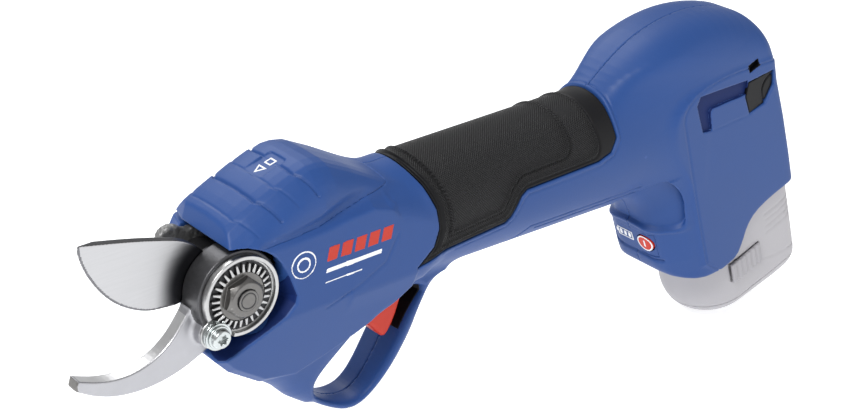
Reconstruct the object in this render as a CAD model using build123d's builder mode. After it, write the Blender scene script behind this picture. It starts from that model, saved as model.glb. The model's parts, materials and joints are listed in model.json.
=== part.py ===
"""Battery electric pruner: bypass cutting head, geared motor drive and removable pack.

Millimetres, +Z up.  The tool points along -X: blades at -X, battery pack at +X.
The left-hand side of the tool is -Y.  Side views are drawn around the blade pivot,
and the rear head is drawn in its own frame, which leans back by REAR_TILT.
"""
import os
from math import cos, radians, sin

from build123d import *

# ---------------------------------------------------------------- driving dimensions
PIVOT_X, PIVOT_Z = -124.62, 110.99     # blade pivot, from the middle of the tool's footprint
REAR_X, REAR_TILT = 245.0, 17.0       # rear head's own origin, behind the pivot, and its lean

HANDLE_RY, HANDLE_RZ = 23.5, 26.5     # half-widths of the oval handle
HANDLE_DROP = 3.2                     # handle axis below the pivot
HANDLE_START, HANDLE_END = 60.0, 222.0
WALL = 2.4                            # housing wall
GRIP_SKIN = 2.0                       # soft grip thickness
GRIP_START, GRIP_END = 72.0, 185.0

HEAD_W = 23.5                         # half-width of the cutting head
SHOULDER_Z = 15.5                     # joint line between the head and its cover
GUARD_W = 8.5                         # half-width of the finger guard
REAR_W = 25.0                         # half-width of the rear head

BOSS_R = 16.4                         # round boss of the fixed hook
HOOK_FRONT, HOOK_BACK = -14.5, -8.5   # side faces of the hook's arm
BLADE_FRONT, BLADE_BACK = -8.2, -4.7  # side faces of the moving blade
BOLT_R, BUSH_R = 4.0, 6.0
SLIP = 0.05                           # running clearance on the pivot
GAP = 0.3                             # gap between pieces that pass each other

MODULE, PINION_TEETH, GEAR_TEETH = 1.0, 8, 40
PINION_R = MODULE * PINION_TEETH / 2
GEAR_R = MODULE * GEAR_TEETH / 2
DRIVE_Y = 3.3                         # motor and pinion axis, to the right of the middle
PITCH_Y = DRIVE_Y - PINION_R          # plane where pinion and face gear roll together
GEAR_FACE = 4.0                       # length of the teeth
GEAR_SPAN = (-63, 13)                 # angles that the toothed sector covers

GEARBOX_R, MOTOR_R = 14.8, 15.0
GEARBOX_X, MOTOR_X, MOTOR_LEN = 34.0, 59.0, 50.0

CELL_R, CELL_LEN = 9.2, 65.0
BUTTON_R, BUTTON_Y = 4.3, -7.5
PANEL_UP, PANEL_BACK, PANEL_SIZE = -47.0, -40.8, (26.0, 12.0)
GAUGE_SIZE = (9.0, 5.0)               # charge gauge's window
INSERT_DEEP = 1.6
SCREW_R, SCREW_HEAD_R, SCREW_HEAD_Y, SCREW_LEN = 1.3, 2.7, 6.0, 13.0
TRIGGER_PIVOT, TRIGGER_PIN_R, TRIGGER_PIN_HALF = (69.0, -24.5), 1.5, 11.0
TRIGGER_HALF = 7.2
LOCK_SPOT, LOCK_R = (-11.2, -11.6), 2.0

BORE_RY, BORE_RZ = 19.3, 22.3         # hollow inside the handle
SWING_R, SWING_HALF = 23.2, 8.8       # chamber where the blade's root and gear swing
BOSS_RECESS_R, BOSS_RECESS_Y = 18.4, 13.0
WELL_HALF = 8.0                       # trigger's opening
POST_R, POST_HALF = 3.4, 13.0         # screw posts inside the handle
FRAME_Y, FRAME_THICK = 12.5, 4.0      # cast plate on the tool's right
BOSS_NEAR = -19.0                     # left end of the hook's boss
DISC_R, DISC_RIM_R, DISC_THICK = 14.8, 13.0, 1.2
SHAFT_R, BEARING_R = 2.5, 7.0
LENS_SIZE = (12.0, 8.0)               # status lens in the head cover
LATCH_SIZE, LATCH_SPOT = (20.0, 11.0), (2.0, -83.0)


# ---------------------------------------------------------------- work planes
def side(y):
    """Side view of the whole tool at depth y: x is +X, y is +Z, drawn around the pivot."""
    return Plane(origin=(PIVOT_X, y, PIVOT_Z), x_dir=(1, 0, 0), z_dir=(0, -1, 0))


def across(x, y=0.0, z=0.0):
    """Section across the handle, x behind the pivot: x is +Y, y is +Z, facing the rear."""
    return Plane(origin=(PIVOT_X + x, y, PIVOT_Z + z), x_dir=(0, 1, 0), z_dir=(1, 0, 0))


LEAN = radians(REAR_TILT)
REARWARD = Vector(cos(LEAN), 0, sin(LEAN))
UPWARD = Vector(-sin(LEAN), 0, cos(LEAN))
REAR_ORIGIN = Vector(PIVOT_X + REAR_X, 0, PIVOT_Z)


def rear_side(y):
    """Side view of the leaning rear head at depth y: x is rearward, y is upward."""
    return Plane(origin=REAR_ORIGIN + Vector(0, y, 0), x_dir=REARWARD, z_dir=(0, -1, 0))


def rear_level(up, back=0.0):
    """Level section of the rear head: x is rearward, y is +Y, facing up its own axis."""
    return Plane(origin=REAR_ORIGIN + UPWARD * up + REARWARD * back, x_dir=REARWARD, z_dir=UPWARD)


def rear_face(back, y=0.0, up=0.0):
    """Plane facing the front of the rear head: x is +Y, y is down, normal is forward."""
    origin = REAR_ORIGIN + REARWARD * back + UPWARD * up + Vector(0, y, 0)
    return Plane(origin=origin, x_dir=(0, 1, 0), z_dir=REARWARD * -1)


# ---------------------------------------------------------------- shared outlines
HEAD_SIDE = ((0, SHOULDER_Z), (60, SHOULDER_Z), (66, 10), (82, -10), (82, -28), (64, -31),
             (30, -34), (6, -34), (-9, -24.5), (-8, -21), (-4, -18), (-2, -6))
BELLY_SIDE = ((-9, -24.5), (40, -30), (72, -31), (56, -41), (40, -53), (36, -62), (28, -58.5))
GUARD_SIDE = ((30, -30), (104, -28), (98, -33), (92, -42), (87, -52), (79, -64), (71.5, -72),
              (64, -76.5), (56, -78), (48, -75.5), (38, -67.5), (20, -51))
LOOP_SIDE = ((59, -38.5), (48.8, -46.7), (41, -53), (38, -59), (41, -66), (48, -70.2), (56, -71),
             (62, -68), (70, -59.5), (76, -52), (85, -38), (87, -33), (64, -33))
TRIGGER_WELL = ((61, -19), (86, -19), (86, -34), (61, -34))
GRIP_SIDE = ((72, 30), (82, 20), (87, 7), (86, -3), (75, -10), (121, -8.5), (129, 1), (178, 2.5),
             (185, 10), (183, 30))
REAR_OUT = ((-42, 34), (-35, 43), (-22, 46.5), (-6, 46.5), (12, 42), (27, 31), (36, 17), (37, 8),
            (37, -47), (33, -56), (14, -57), (3, -64), (-5, -73), (-10, -74), (-24, -74),
            (-33, -69), (-42, -52))
REAR_IN = ((-39, 32), (-33, 39.8), (-22, 43), (-7, 43), (10, 39), (24.6, 29), (33, 16), (34.2, 8),
           (34.2, -62), (-27, -62), (-38, -62), (-39, -51))
COVER_SIDE = ((-1, SHOULDER_Z), (6, 27), (28, 39.5), (33, 39.5), (46, 33), (60, 25), (60, SHOULDER_Z))
COVER_END = ((-HEAD_W, SHOULDER_Z), (-HEAD_W, 17.5), (-17, 28), (-9.5, 40), (9.5, 40), (17, 28),
             (HEAD_W, 17.5), (HEAD_W, SHOULDER_Z))
CORE_SIDE = ((4, 10), (8, 25), (28.6, 36.9), (32.5, 36.9), (45, 30.7), (57.6, 23.4), (57.6, 10))
CORE_END = ((-21.1, 10), (-21.1, 17), (-15, 26.6), (-8.2, 37.6), (8.2, 37.6), (15, 26.6), (21.1, 17),
            (21.1, 10))
HOOK_INNER = ((-61.2, -13.9), (-53.5, -17.0), (-46, -18.5), (-38.5, -18.2), (-31.5, -15.8),
              (-26, -12.4), (-22, -8.2), (-18.5, -3))
HOOK_OUTER = ((-62.4, -17.4), (-55.5, -22), (-46.5, -25.2), (-34.9, -26.4), (-22.8, -24.7),
              (-13.1, -20.7), (-4, -16))
BLADE_BELLY = ((-53.0, 31.6), (-52.4, 26.5), (-47.8, 15), (-42.9, 8), (-36.5, 2.5), (-29.5, -0.9),
               (-22, -1.9))
BLADE_ROOT = ((-14, -3), (0, 0), (-6, 12.6), (-14, 19), (-21, 24.5), (-52.2, 32.8))
TRIGGER_SIDE = ((60.8, -38.8), (64.6, -34), (64.6, -22.5), (69, -20), (76, -21.5), (83, -28), (82, -35),
                (77, -46), (72.5, -50.5), (66, -44.5))
INSERT_SIDE = ((16.6, 10), (32.5, 7), (31.4, 0), (24.6, -5.7), (14.8, -5), (13.7, 4.3))
HANDLE_BOSSES = ((96, -24), (165, -24))
SCREW_SPOTS = ((16, -27), (52, -27), (96, -24), (165, -24), (56, -74.5))


# ---------------------------------------------------------------- housing envelope
def rear_plan(half_width, front, rear, bow):
    """Level outline of the rear head, its front corners cut back by bow."""
    Polygon((rear, -half_width), (rear, half_width), (front + 18, half_width), (front, half_width - bow),
            (front, -half_width + bow), (front + 18, -half_width), align=None)


with BuildPart() as envelope:
    with BuildSketch(across(HANDLE_START, z=-HANDLE_DROP)):
        Ellipse(HANDLE_RY, HANDLE_RZ)
    extrude(amount=HANDLE_END - HANDLE_START)
    with BuildSketch(side(HEAD_W)):
        Polygon(*HEAD_SIDE, align=None)
    extrude(amount=2 * HEAD_W)
    with BuildSketch(side(16)):
        Polygon(*BELLY_SIDE, align=None)
    extrude(amount=32)
    with BuildSketch(side(GUARD_W)):
        Polygon(*GUARD_SIDE, align=None)
    extrude(amount=2 * GUARD_W)
    with BuildSketch(side(GUARD_W + 9)):
        Polygon(*LOOP_SIDE, align=None)
    extrude(amount=2 * GUARD_W + 18, mode=Mode.SUBTRACT)

with BuildPart() as rear_envelope:
    with BuildSketch(rear_level(-80)):
        rear_plan(REAR_W, -42, 38, 11)
    extrude(amount=130)
    with BuildSketch(rear_side(REAR_W)):
        Polygon(*REAR_OUT, align=None)
    extrude(amount=2 * REAR_W, mode=Mode.INTERSECT)
    side_edges = rear_envelope.edges().filter_by(
        lambda e: abs(e.center().Y) > REAR_W - 0.1 and (e.center() - REAR_ORIGIN).dot(UPWARD) > 5)
    fillet(side_edges, radius=5)

with BuildPart() as rear_hollow:
    with BuildSketch(rear_level(-90)):
        rear_plan(REAR_W - WALL, -39, 35, 9)
    extrude(amount=140)
    with BuildSketch(rear_side(REAR_W)):
        Polygon(*REAR_IN, align=None)
    extrude(amount=2 * REAR_W, mode=Mode.INTERSECT)
    with BuildSketch(rear_level(-90)):
        Polygon((-27, -22.6), (-27, 22.6), (34.2, 22.6), (34.2, -22.6), align=None)
    extrude(amount=40)

with BuildPart() as grip_blank:
    with BuildSketch(across(GRIP_START, z=-HANDLE_DROP)):
        Ellipse(HANDLE_RY, HANDLE_RZ)
        Ellipse(HANDLE_RY - GRIP_SKIN, HANDLE_RZ - GRIP_SKIN, mode=Mode.SUBTRACT)
    extrude(amount=GRIP_END - GRIP_START)
    with BuildSketch(side(30)):
        Polygon(*GRIP_SIDE, align=None)
    extrude(amount=60, mode=Mode.INTERSECT)

# Both housing halves together, before they are split on the middle plane.
with BuildPart() as casing:
    add(envelope.part)
    add(rear_envelope.part)
    add(grip_blank.part, mode=Mode.SUBTRACT)
    add(rear_hollow.part, mode=Mode.SUBTRACT)
    with BuildSketch(across(62, z=-HANDLE_DROP)):
        Ellipse(BORE_RY, BORE_RZ)
    extrude(amount=150, mode=Mode.SUBTRACT)
    with BuildSketch(side(HEAD_W - WALL)):
        Polygon((14, 16), (64, 16), (64, -17), (60, -20), (14, -20), align=None)
    extrude(amount=2 * (HEAD_W - WALL), mode=Mode.SUBTRACT)
    with BuildSketch(side(WELL_HALF)):
        Polygon(*TRIGGER_WELL, align=None)
    extrude(amount=2 * WELL_HALF, mode=Mode.SUBTRACT)
    with BuildSketch(side(BOSS_RECESS_Y)):
        Circle(BOSS_RECESS_R)
    extrude(amount=40, mode=Mode.SUBTRACT)
    with BuildSketch(side(SWING_HALF)):
        Circle(SWING_R)
    extrude(amount=2 * SWING_HALF + 0.4, mode=Mode.SUBTRACT)
    with BuildSketch(side(POST_HALF)):
        with Locations(*HANDLE_BOSSES):
            Circle(POST_R)
    extrude(amount=2 * POST_HALF)
    with BuildSketch(side(SCREW_HEAD_Y)):
        with Locations(*SCREW_SPOTS):
            Circle(SCREW_R + SLIP)
    extrude(amount=SCREW_LEN + 1, mode=Mode.SUBTRACT)
    with BuildSketch(side(40)):
        with Locations(*SCREW_SPOTS):
            Circle(SCREW_HEAD_R + GAP)
    extrude(amount=40 - SCREW_HEAD_Y, mode=Mode.SUBTRACT)
    with BuildSketch(side(TRIGGER_PIN_HALF)):
        with Locations(TRIGGER_PIVOT):
            Circle(TRIGGER_PIN_R)
    extrude(amount=2 * TRIGGER_PIN_HALF, mode=Mode.SUBTRACT)
    with BuildSketch(rear_face(PANEL_BACK, up=PANEL_UP)):
        Rectangle(*PANEL_SIZE)
    extrude(amount=5, mode=Mode.SUBTRACT)
    with BuildSketch(rear_face(-34, y=BUTTON_Y, up=PANEL_UP)):
        Circle(BUTTON_R + GAP)
    extrude(amount=12, mode=Mode.SUBTRACT)
    for y_inner, y_outer in ((REAR_W - INSERT_DEEP, REAR_W + 1), (-REAR_W - 1, -REAR_W + INSERT_DEEP)):
        with BuildSketch(rear_side(y_outer)):
            Polygon(*INSERT_SIDE, align=None)
        extrude(amount=y_outer - y_inner, mode=Mode.SUBTRACT)


# ---------------------------------------------------------------- housing
with BuildPart() as housing_left:
    add(casing.part)
    split(bisect_by=Plane.XZ, keep=Keep.TOP)

with BuildPart() as housing_right:
    add(casing.part)
    split(bisect_by=Plane.XZ, keep=Keep.BOTTOM)
    with BuildSketch(side(HEAD_W + 1)):
        Circle(9)
    extrude(amount=12, mode=Mode.SUBTRACT)

with BuildPart() as cover_core:
    with BuildSketch(side(HEAD_W)):
        Polygon(*CORE_SIDE, align=None)
    extrude(amount=2 * HEAD_W)
    with BuildSketch(across(-5)):
        Polygon(*CORE_END, align=None)
    extrude(amount=70, mode=Mode.INTERSECT)

LENS_PLANE = Plane(origin=(PIVOT_X + 18, 0, PIVOT_Z + 33.8), x_dir=(0, 1, 0), z_dir=(-12.5, 0, 22))
with BuildPart() as head_cover:
    with BuildSketch(side(HEAD_W)):
        Polygon(*COVER_SIDE, align=None)
    extrude(amount=2 * HEAD_W)
    with BuildSketch(across(-5)):
        Polygon(*COVER_END, align=None)
    extrude(amount=70, mode=Mode.INTERSECT)
    add(cover_core.part, mode=Mode.SUBTRACT)
    with BuildSketch(side(BOSS_RECESS_Y)):
        Circle(17.2)
    extrude(amount=40, mode=Mode.SUBTRACT)
    with BuildSketch(LENS_PLANE):
        Rectangle(*LENS_SIZE)
    extrude(amount=-8, both=True, mode=Mode.SUBTRACT)

with BuildPart() as status_lens:
    with BuildSketch(LENS_PLANE.offset(-2)):
        Rectangle(*LENS_SIZE)
    extrude(amount=1.6)

with BuildPart() as grip_overmould:
    add(grip_blank.part)

with BuildPart() as housing_screws:
    with BuildSketch(side(SCREW_HEAD_Y)):
        with Locations(*SCREW_SPOTS):
            Circle(SCREW_R)
    extrude(amount=SCREW_LEN)
    with BuildSketch(side(SCREW_HEAD_Y + 2.2)):
        with Locations(*SCREW_SPOTS):
            Circle(SCREW_HEAD_R)
            RegularPolygon(1.4, 6, mode=Mode.SUBTRACT)
    extrude(amount=1.4)
    with BuildSketch(side(SCREW_HEAD_Y + 0.8)):
        with Locations(*SCREW_SPOTS):
            Circle(SCREW_HEAD_R)
    extrude(amount=0.8)

# ---------------------------------------------------------------- cutting head
with BuildPart() as hook_blade:
    with BuildSketch(side(HOOK_BACK)) as hook_sketch:
        with BuildLine():
            inner = Spline(*HOOK_INNER)
            outer = Spline(*HOOK_OUTER)
            Line(inner @ 0, outer @ 0)
            Line(inner @ 1, outer @ 1)
        make_face()
        Circle(BOSS_R - 1)
    extrude(amount=HOOK_BACK - HOOK_FRONT)
    with BuildSketch(side(HOOK_BACK)):
        Circle(BOSS_R)
    extrude(amount=HOOK_BACK - BOSS_NEAR)
    with BuildSketch(side(-13)):
        with Locations(LOCK_SPOT):
            Circle(5.6)
    extrude(amount=-13 - BOSS_NEAR)
    with BuildSketch(side(0)):
        Circle(BUSH_R)
    extrude(amount=30, mode=Mode.SUBTRACT)
    with BuildSketch(side(-10)):
        with Locations(LOCK_SPOT):
            Circle(LOCK_R)
    extrude(amount=20, mode=Mode.SUBTRACT)

with BuildPart() as cutting_blade:
    with BuildSketch(side(BLADE_BACK)):
        with BuildLine():
            belly = Spline(*BLADE_BELLY)
            root = Polyline(belly @ 1, *BLADE_ROOT, belly @ 0)
        make_face()
        Circle(14)
        Circle(BUSH_R + SLIP, mode=Mode.SUBTRACT)
    extrude(amount=BLADE_BACK - BLADE_FRONT)

TOOTH_ROOT_HALF, TOOTH_TIP_HALF = 0.9, 0.28
with BuildPart() as blade_gear:
    gear_root = PITCH_Y - 1.25 * MODULE
    with BuildSketch(side(gear_root)):
        with BuildLine():
            CenterArc((0, 0), GEAR_R + GEAR_FACE / 2, GEAR_SPAN[0], GEAR_SPAN[1] - GEAR_SPAN[0])
            CenterArc((0, 0), 9, GEAR_SPAN[0], GEAR_SPAN[1] - GEAR_SPAN[0])
            for angle in GEAR_SPAN:
                Line((9 * cos(radians(angle)), 9 * sin(radians(angle))),
                     (22 * cos(radians(angle)), 22 * sin(radians(angle))))
        make_face()
    extrude(amount=gear_root - BLADE_BACK)
    with BuildSketch(side(8.2)):
        Circle(11)
    extrude(amount=8.2 - BLADE_BACK)
    for tooth in range(-6, 2):
        angle = 360 / GEAR_TEETH * tooth
        middle = (GEAR_R * cos(radians(angle)), GEAR_R * sin(radians(angle)), 0)
        for lift, half_width in ((-0.01, TOOTH_ROOT_HALF), (2.25 * MODULE, TOOTH_TIP_HALF)):
            with BuildSketch(side(gear_root + lift)):
                with Locations(Location(middle, (0, 0, 1), angle)):
                    Rectangle(GEAR_FACE, 2 * half_width)
        loft()
    with BuildSketch(side(20)):
        Circle(BUSH_R + SLIP)
    extrude(amount=40, mode=Mode.SUBTRACT)

with BuildPart() as drive_pinion:
    with BuildSketch(across(GEAR_R - GEAR_FACE / 2, y=DRIVE_Y)):
        Circle(PINION_R - 1.25 * MODULE)
        for tooth in range(PINION_TEETH):
            angle = 360 / PINION_TEETH * (tooth + 0.5)
            with Locations(Location((0, 0, 0), (0, 0, 1), angle)):
                Polygon((2.2, -0.85), (PINION_R + MODULE, -0.25), (PINION_R + MODULE, 0.25),
                        (2.2, 0.85), align=None)
    extrude(amount=GEAR_FACE)
    with BuildSketch(across(GEAR_R - GEAR_FACE / 2 - 0.5, y=DRIVE_Y)):
        Circle(SHAFT_R)
    extrude(amount=20.5)

with BuildPart() as gear_frame:
    with BuildSketch(side(FRAME_Y)):
        Circle(15)
        Polygon((-15, 10), (-8, 17.5), (2, 12), (-10, 0), align=None)
        Polygon((0, -10), (31.5, -10), (31.5, 10), (0, 10), align=None)
        with Locations((-11, 14.2)):
            Circle(5.2)
        Circle(BUSH_R, mode=Mode.SUBTRACT)
    extrude(amount=FRAME_THICK)
    with BuildSketch(across(24, y=DRIVE_Y)):
        Rectangle(17, 20)
        Circle(BEARING_R, mode=Mode.SUBTRACT)
    extrude(amount=7.5)
    with BuildSketch(across(20, y=DRIVE_Y)):
        Circle(BEARING_R)
    extrude(amount=16, mode=Mode.SUBTRACT)

with BuildPart() as pinion_bearing:
    with BuildSketch(across(25, y=DRIVE_Y)):
        Circle(BEARING_R)
        Circle(SHAFT_R + SLIP, mode=Mode.SUBTRACT)
    extrude(amount=5)

with BuildPart() as pivot_bush:
    with BuildSketch(side(FRAME_Y)):
        Circle(BUSH_R)
        Circle(BOLT_R, mode=Mode.SUBTRACT)
    extrude(amount=FRAME_Y - BOSS_NEAR)

with BuildPart() as pivot_bolt:
    with BuildSketch(side(FRAME_Y)):
        Circle(BOLT_R)
    extrude(amount=FRAME_Y + 25.6)
    with BuildSketch(side(18.0)):
        RegularPolygon(7.2, 6, major_radius=True)
    extrude(amount=5.5)

with BuildPart() as pivot_disc:
    with BuildSketch(side(BOSS_NEAR)):
        Circle(DISC_R)
        with Locations(LOCK_SPOT):
            Circle(5.6)
        Circle(BOLT_R, mode=Mode.SUBTRACT)
        with Locations(LOCK_SPOT):
            Circle(LOCK_R, mode=Mode.SUBTRACT)
    extrude(amount=DISC_THICK)
    with BuildSketch(side(BOSS_NEAR - DISC_THICK)):
        Circle(DISC_R)
        Circle(DISC_RIM_R, mode=Mode.SUBTRACT)
        with Locations(LOCK_SPOT):
            Circle(7.5, mode=Mode.SUBTRACT)
    extrude(amount=1.6)

NUT_SEAT = BOSS_NEAR - DISC_THICK
with BuildPart() as pivot_nut:
    with BuildSketch(side(NUT_SEAT)):
        Circle(9.2)
        with PolarLocations(9.6, 28):
            Rectangle(1.6, 1.1)
        Circle(BOLT_R, mode=Mode.SUBTRACT)
    extrude(amount=1.6)
    with BuildSketch(side(NUT_SEAT - 1.6)):
        RegularPolygon(6.5, 6, major_radius=False)
        Circle(BOLT_R, mode=Mode.SUBTRACT)
    extrude(amount=3.2)

with BuildPart() as lock_plate:
    with BuildSketch(side(NUT_SEAT)):
        with Locations(LOCK_SPOT):
            Circle(5.2)
        Circle(10.8, mode=Mode.SUBTRACT)
        with Locations(LOCK_SPOT):
            Circle(LOCK_R, mode=Mode.SUBTRACT)
    extrude(amount=1.6)

with BuildPart() as lock_washer:
    with BuildSketch(side(NUT_SEAT - 1.6)):
        with Locations(LOCK_SPOT):
            Circle(4.9)
            Circle(LOCK_R, mode=Mode.SUBTRACT)
    extrude(amount=1.0)

with BuildPart() as lock_screw:
    with BuildSketch(side(-11)):
        with Locations(LOCK_SPOT):
            Circle(LOCK_R)
    extrude(amount=-11 - NUT_SEAT + 2.6)
    with BuildSketch(side(NUT_SEAT - 2.6)):
        with Locations(LOCK_SPOT):
            Circle(3.7)
    extrude(amount=1.4)
    with BuildSketch(side(NUT_SEAT - 4.0)):
        with Locations(LOCK_SPOT):
            Circle(3.7)
            RegularPolygon(1.9, 6, mode=Mode.SUBTRACT)
    extrude(amount=1.6)

# ---------------------------------------------------------------- motor drive
with BuildPart() as gearbox_case:
    with BuildSketch(across(GEARBOX_X, y=DRIVE_Y)):
        Circle(GEARBOX_R)
        Circle(SHAFT_R + SLIP, mode=Mode.SUBTRACT)
    extrude(amount=3)
    with BuildSketch(across(GEARBOX_X + 3, y=DRIVE_Y)):
        Circle(GEARBOX_R)
        Circle(GEARBOX_R - 2, mode=Mode.SUBTRACT)
    extrude(amount=21)

with BuildPart() as ring_gear:
    with BuildSketch(across(GEARBOX_X + 8, y=DRIVE_Y)):
        Circle(GEARBOX_R - 2)
        Circle(GEARBOX_R - 4, mode=Mode.SUBTRACT)
        with PolarLocations(GEARBOX_R - 4.3, 36):
            Rectangle(1.0, 0.8)
    extrude(amount=12)

with BuildPart() as gearbox_cover:
    with BuildSketch(across(GEARBOX_X + 24, y=DRIVE_Y)):
        Circle(GEARBOX_R)
        Circle(SHAFT_R + SLIP, mode=Mode.SUBTRACT)
    extrude(amount=1)

with BuildPart() as motor_can:
    with BuildSketch(across(MOTOR_X, y=DRIVE_Y)):
        Circle(MOTOR_R)
        Circle(SHAFT_R + SLIP, mode=Mode.SUBTRACT)
    extrude(amount=2)
    with BuildSketch(across(MOTOR_X + 2, y=DRIVE_Y)):
        Circle(MOTOR_R)
        Circle(MOTOR_R - 1.4, mode=Mode.SUBTRACT)
    extrude(amount=MOTOR_LEN - 2)

with BuildPart() as motor_magnets:
    with BuildSketch(across(MOTOR_X + 6, y=DRIVE_Y)):
        Circle(MOTOR_R - 1.4)
        Circle(11.4, mode=Mode.SUBTRACT)
        Rectangle(5, 40, mode=Mode.SUBTRACT)
    extrude(amount=34)

with BuildPart() as motor_end_cap:
    with BuildSketch(across(MOTOR_X + MOTOR_LEN, y=DRIVE_Y)):
        Circle(MOTOR_R)
        Circle(SHAFT_R + SLIP, mode=Mode.SUBTRACT)
    extrude(amount=3.5)

with BuildPart() as motor_rotor:
    with BuildSketch(across(GEARBOX_X + 10, y=DRIVE_Y)):
        Circle(SHAFT_R)
    extrude(amount=MOTOR_X + MOTOR_LEN + 4.5 - GEARBOX_X - 10)
    with BuildSketch(across(MOTOR_X + 8, y=DRIVE_Y)):
        Circle(10.8)
        with PolarLocations(10.2, 5):
            Rectangle(4.6, 1.8, mode=Mode.SUBTRACT)
    extrude(amount=30)
    with BuildSketch(across(MOTOR_X + 40, y=DRIVE_Y)):
        Circle(5)
    extrude(amount=7)

with BuildPart() as control_board:
    with BuildSketch(Plane.XY.offset(PIVOT_Z - 14)):
        with Locations((PIVOT_X + 150, 0)):
            Rectangle(58, 26)
    extrude(amount=1.6)
    with BuildSketch(Plane.XY.offset(PIVOT_Z - 12.4)):
        with Locations((PIVOT_X + 133, 4), (PIVOT_X + 133, -6), (PIVOT_X + 146, 4), (PIVOT_X + 146, -6)):
            Rectangle(9, 7)
        with Locations((PIVOT_X + 168, 0)):
            Circle(6)
    extrude(amount=4)

# ---------------------------------------------------------------- trigger
with BuildPart() as trigger:
    with BuildSketch(side(TRIGGER_HALF)):
        Polygon(*TRIGGER_SIDE, align=None)
        with Locations(TRIGGER_PIVOT):
            Circle(TRIGGER_PIN_R + SLIP, mode=Mode.SUBTRACT)
    extrude(amount=2 * TRIGGER_HALF)

with BuildPart() as trigger_pin:
    with BuildSketch(side(TRIGGER_PIN_HALF)):
        with Locations(TRIGGER_PIVOT):
            Circle(TRIGGER_PIN_R)
    extrude(amount=2 * TRIGGER_PIN_HALF)

with BuildPart() as trigger_switch:
    with BuildSketch(side(-2)):
        Polygon((72, -18.8), (84, -18.8), (84, -14.9), (72, -14.9), align=None)
    extrude(amount=6)

# ---------------------------------------------------------------- rear head fittings
PANEL_THICK = 1.2
with BuildPart() as control_panel:
    with BuildSketch(rear_face(PANEL_BACK, up=PANEL_UP)):
        Rectangle(PANEL_SIZE[0] - 0.2, PANEL_SIZE[1] - 0.2)
        with Locations((BUTTON_Y, 0)):
            Circle(BUTTON_R + GAP, mode=Mode.SUBTRACT)
        with Locations((-BUTTON_Y, 0)):
            Rectangle(*GAUGE_SIZE, mode=Mode.SUBTRACT)
    extrude(amount=PANEL_THICK)

with BuildPart() as gauge_lens:
    with BuildSketch(rear_face(PANEL_BACK, y=-BUTTON_Y, up=PANEL_UP)):
        Rectangle(*GAUGE_SIZE)
    extrude(amount=PANEL_THICK + 0.2)

with BuildPart() as power_button:
    with BuildSketch(rear_face(-37.9, y=BUTTON_Y, up=PANEL_UP)):
        Circle(BUTTON_R)
    extrude(amount=5)
    with BuildSketch(rear_face(-37.6, y=BUTTON_Y, up=PANEL_UP)):
        Circle(BUTTON_R + 0.9)
    extrude(amount=1)

with BuildPart() as gauge_board:
    with BuildSketch(rear_face(-34, up=PANEL_UP)):
        Rectangle(28, 20)
    extrude(amount=1.4)

with BuildPart() as contact_block:
    with BuildSketch(rear_level(4)):
        Rectangle(30, 34)
    extrude(amount=9)

INSERTS = {}
for name, y_outer in (("strap_insert_left", -REAR_W + INSERT_DEEP), ("strap_insert_right", REAR_W + 0.4)):
    with BuildPart() as insert:
        with BuildSketch(rear_side(y_outer)):
            Polygon(*INSERT_SIDE, align=None)
        extrude(amount=INSERT_DEEP + 0.4)
    INSERTS[name] = insert

# ---------------------------------------------------------------- battery pack
CELL_SPOTS = ((-6, -9.6), (-6, 9.6), (10.6, 0))
PACK_FRONT, PACK_REAR, PACK_HALF = -26.5, 37.4, 22.0
PACK_TOP, PACK_LID, PACK_BOTTOM = -58.0, -100.0, -109.0
PACK_CORNER, PACK_EDGE = 12.0, 4.0
TOWER_TOP, CELL_BOTTOM = 0.0, -99.5


def pack_plan():
    """Level outline of the pack's foot."""
    with Locations(((PACK_FRONT + PACK_REAR) / 2, 0)):
        RectangleRounded(PACK_REAR - PACK_FRONT, 2 * PACK_HALF, PACK_CORNER)


with BuildPart() as battery_shell:
    with BuildSketch(rear_level(PACK_LID)):
        pack_plan()
    extrude(amount=PACK_TOP - PACK_LID)
    with BuildSketch(rear_level(PACK_TOP)):
        with Locations(*CELL_SPOTS):
            Circle(CELL_R + 1.4)
        Polygon((-6, -15), (-6, 15), (14, 6), (14, -6), align=None)
    extrude(amount=TOWER_TOP - PACK_TOP)
    with BuildSketch(rear_level(PACK_LID)):
        with Locations(*CELL_SPOTS):
            Circle(CELL_R + 0.15)
    extrude(amount=CELL_LEN + 2, mode=Mode.SUBTRACT)
    for y_start in (PACK_HALF + 1, -PACK_HALF + 2.4):
        with BuildSketch(rear_side(y_start)):
            with Locations(LATCH_SPOT):
                Rectangle(*LATCH_SIZE)
        extrude(amount=3.4, mode=Mode.SUBTRACT)

with BuildPart() as battery_base:
    with BuildSketch(rear_level(PACK_BOTTOM)):
        pack_plan()
    extrude(amount=PACK_LID - PACK_BOTTOM)
    fillet(battery_base.faces().sort_by(Axis.Z)[0].edges(), radius=PACK_EDGE)

with BuildPart() as battery_cells:
    with BuildSketch(rear_level(CELL_BOTTOM)):
        with Locations(*CELL_SPOTS):
            Circle(CELL_R)
    extrude(amount=CELL_LEN)

with BuildPart() as battery_contacts:
    with BuildSketch(rear_level(TOWER_TOP)):
        with GridLocations(0, 7, 1, 4):
            Rectangle(12, 2)
    extrude(amount=2.8)

LATCHES = {}
for name, y_start in (("battery_latch_left", -PACK_HALF + 0.2), ("battery_latch_right", PACK_HALF + 1.6)):
    with BuildPart() as latch:
        with BuildSketch(rear_side(y_start)):
            with Locations(LATCH_SPOT):
                Rectangle(LATCH_SIZE[0] - 2 * GAP, LATCH_SIZE[1] - 2 * GAP)
        extrude(amount=1.8)
    LATCHES[name] = latch

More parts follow.
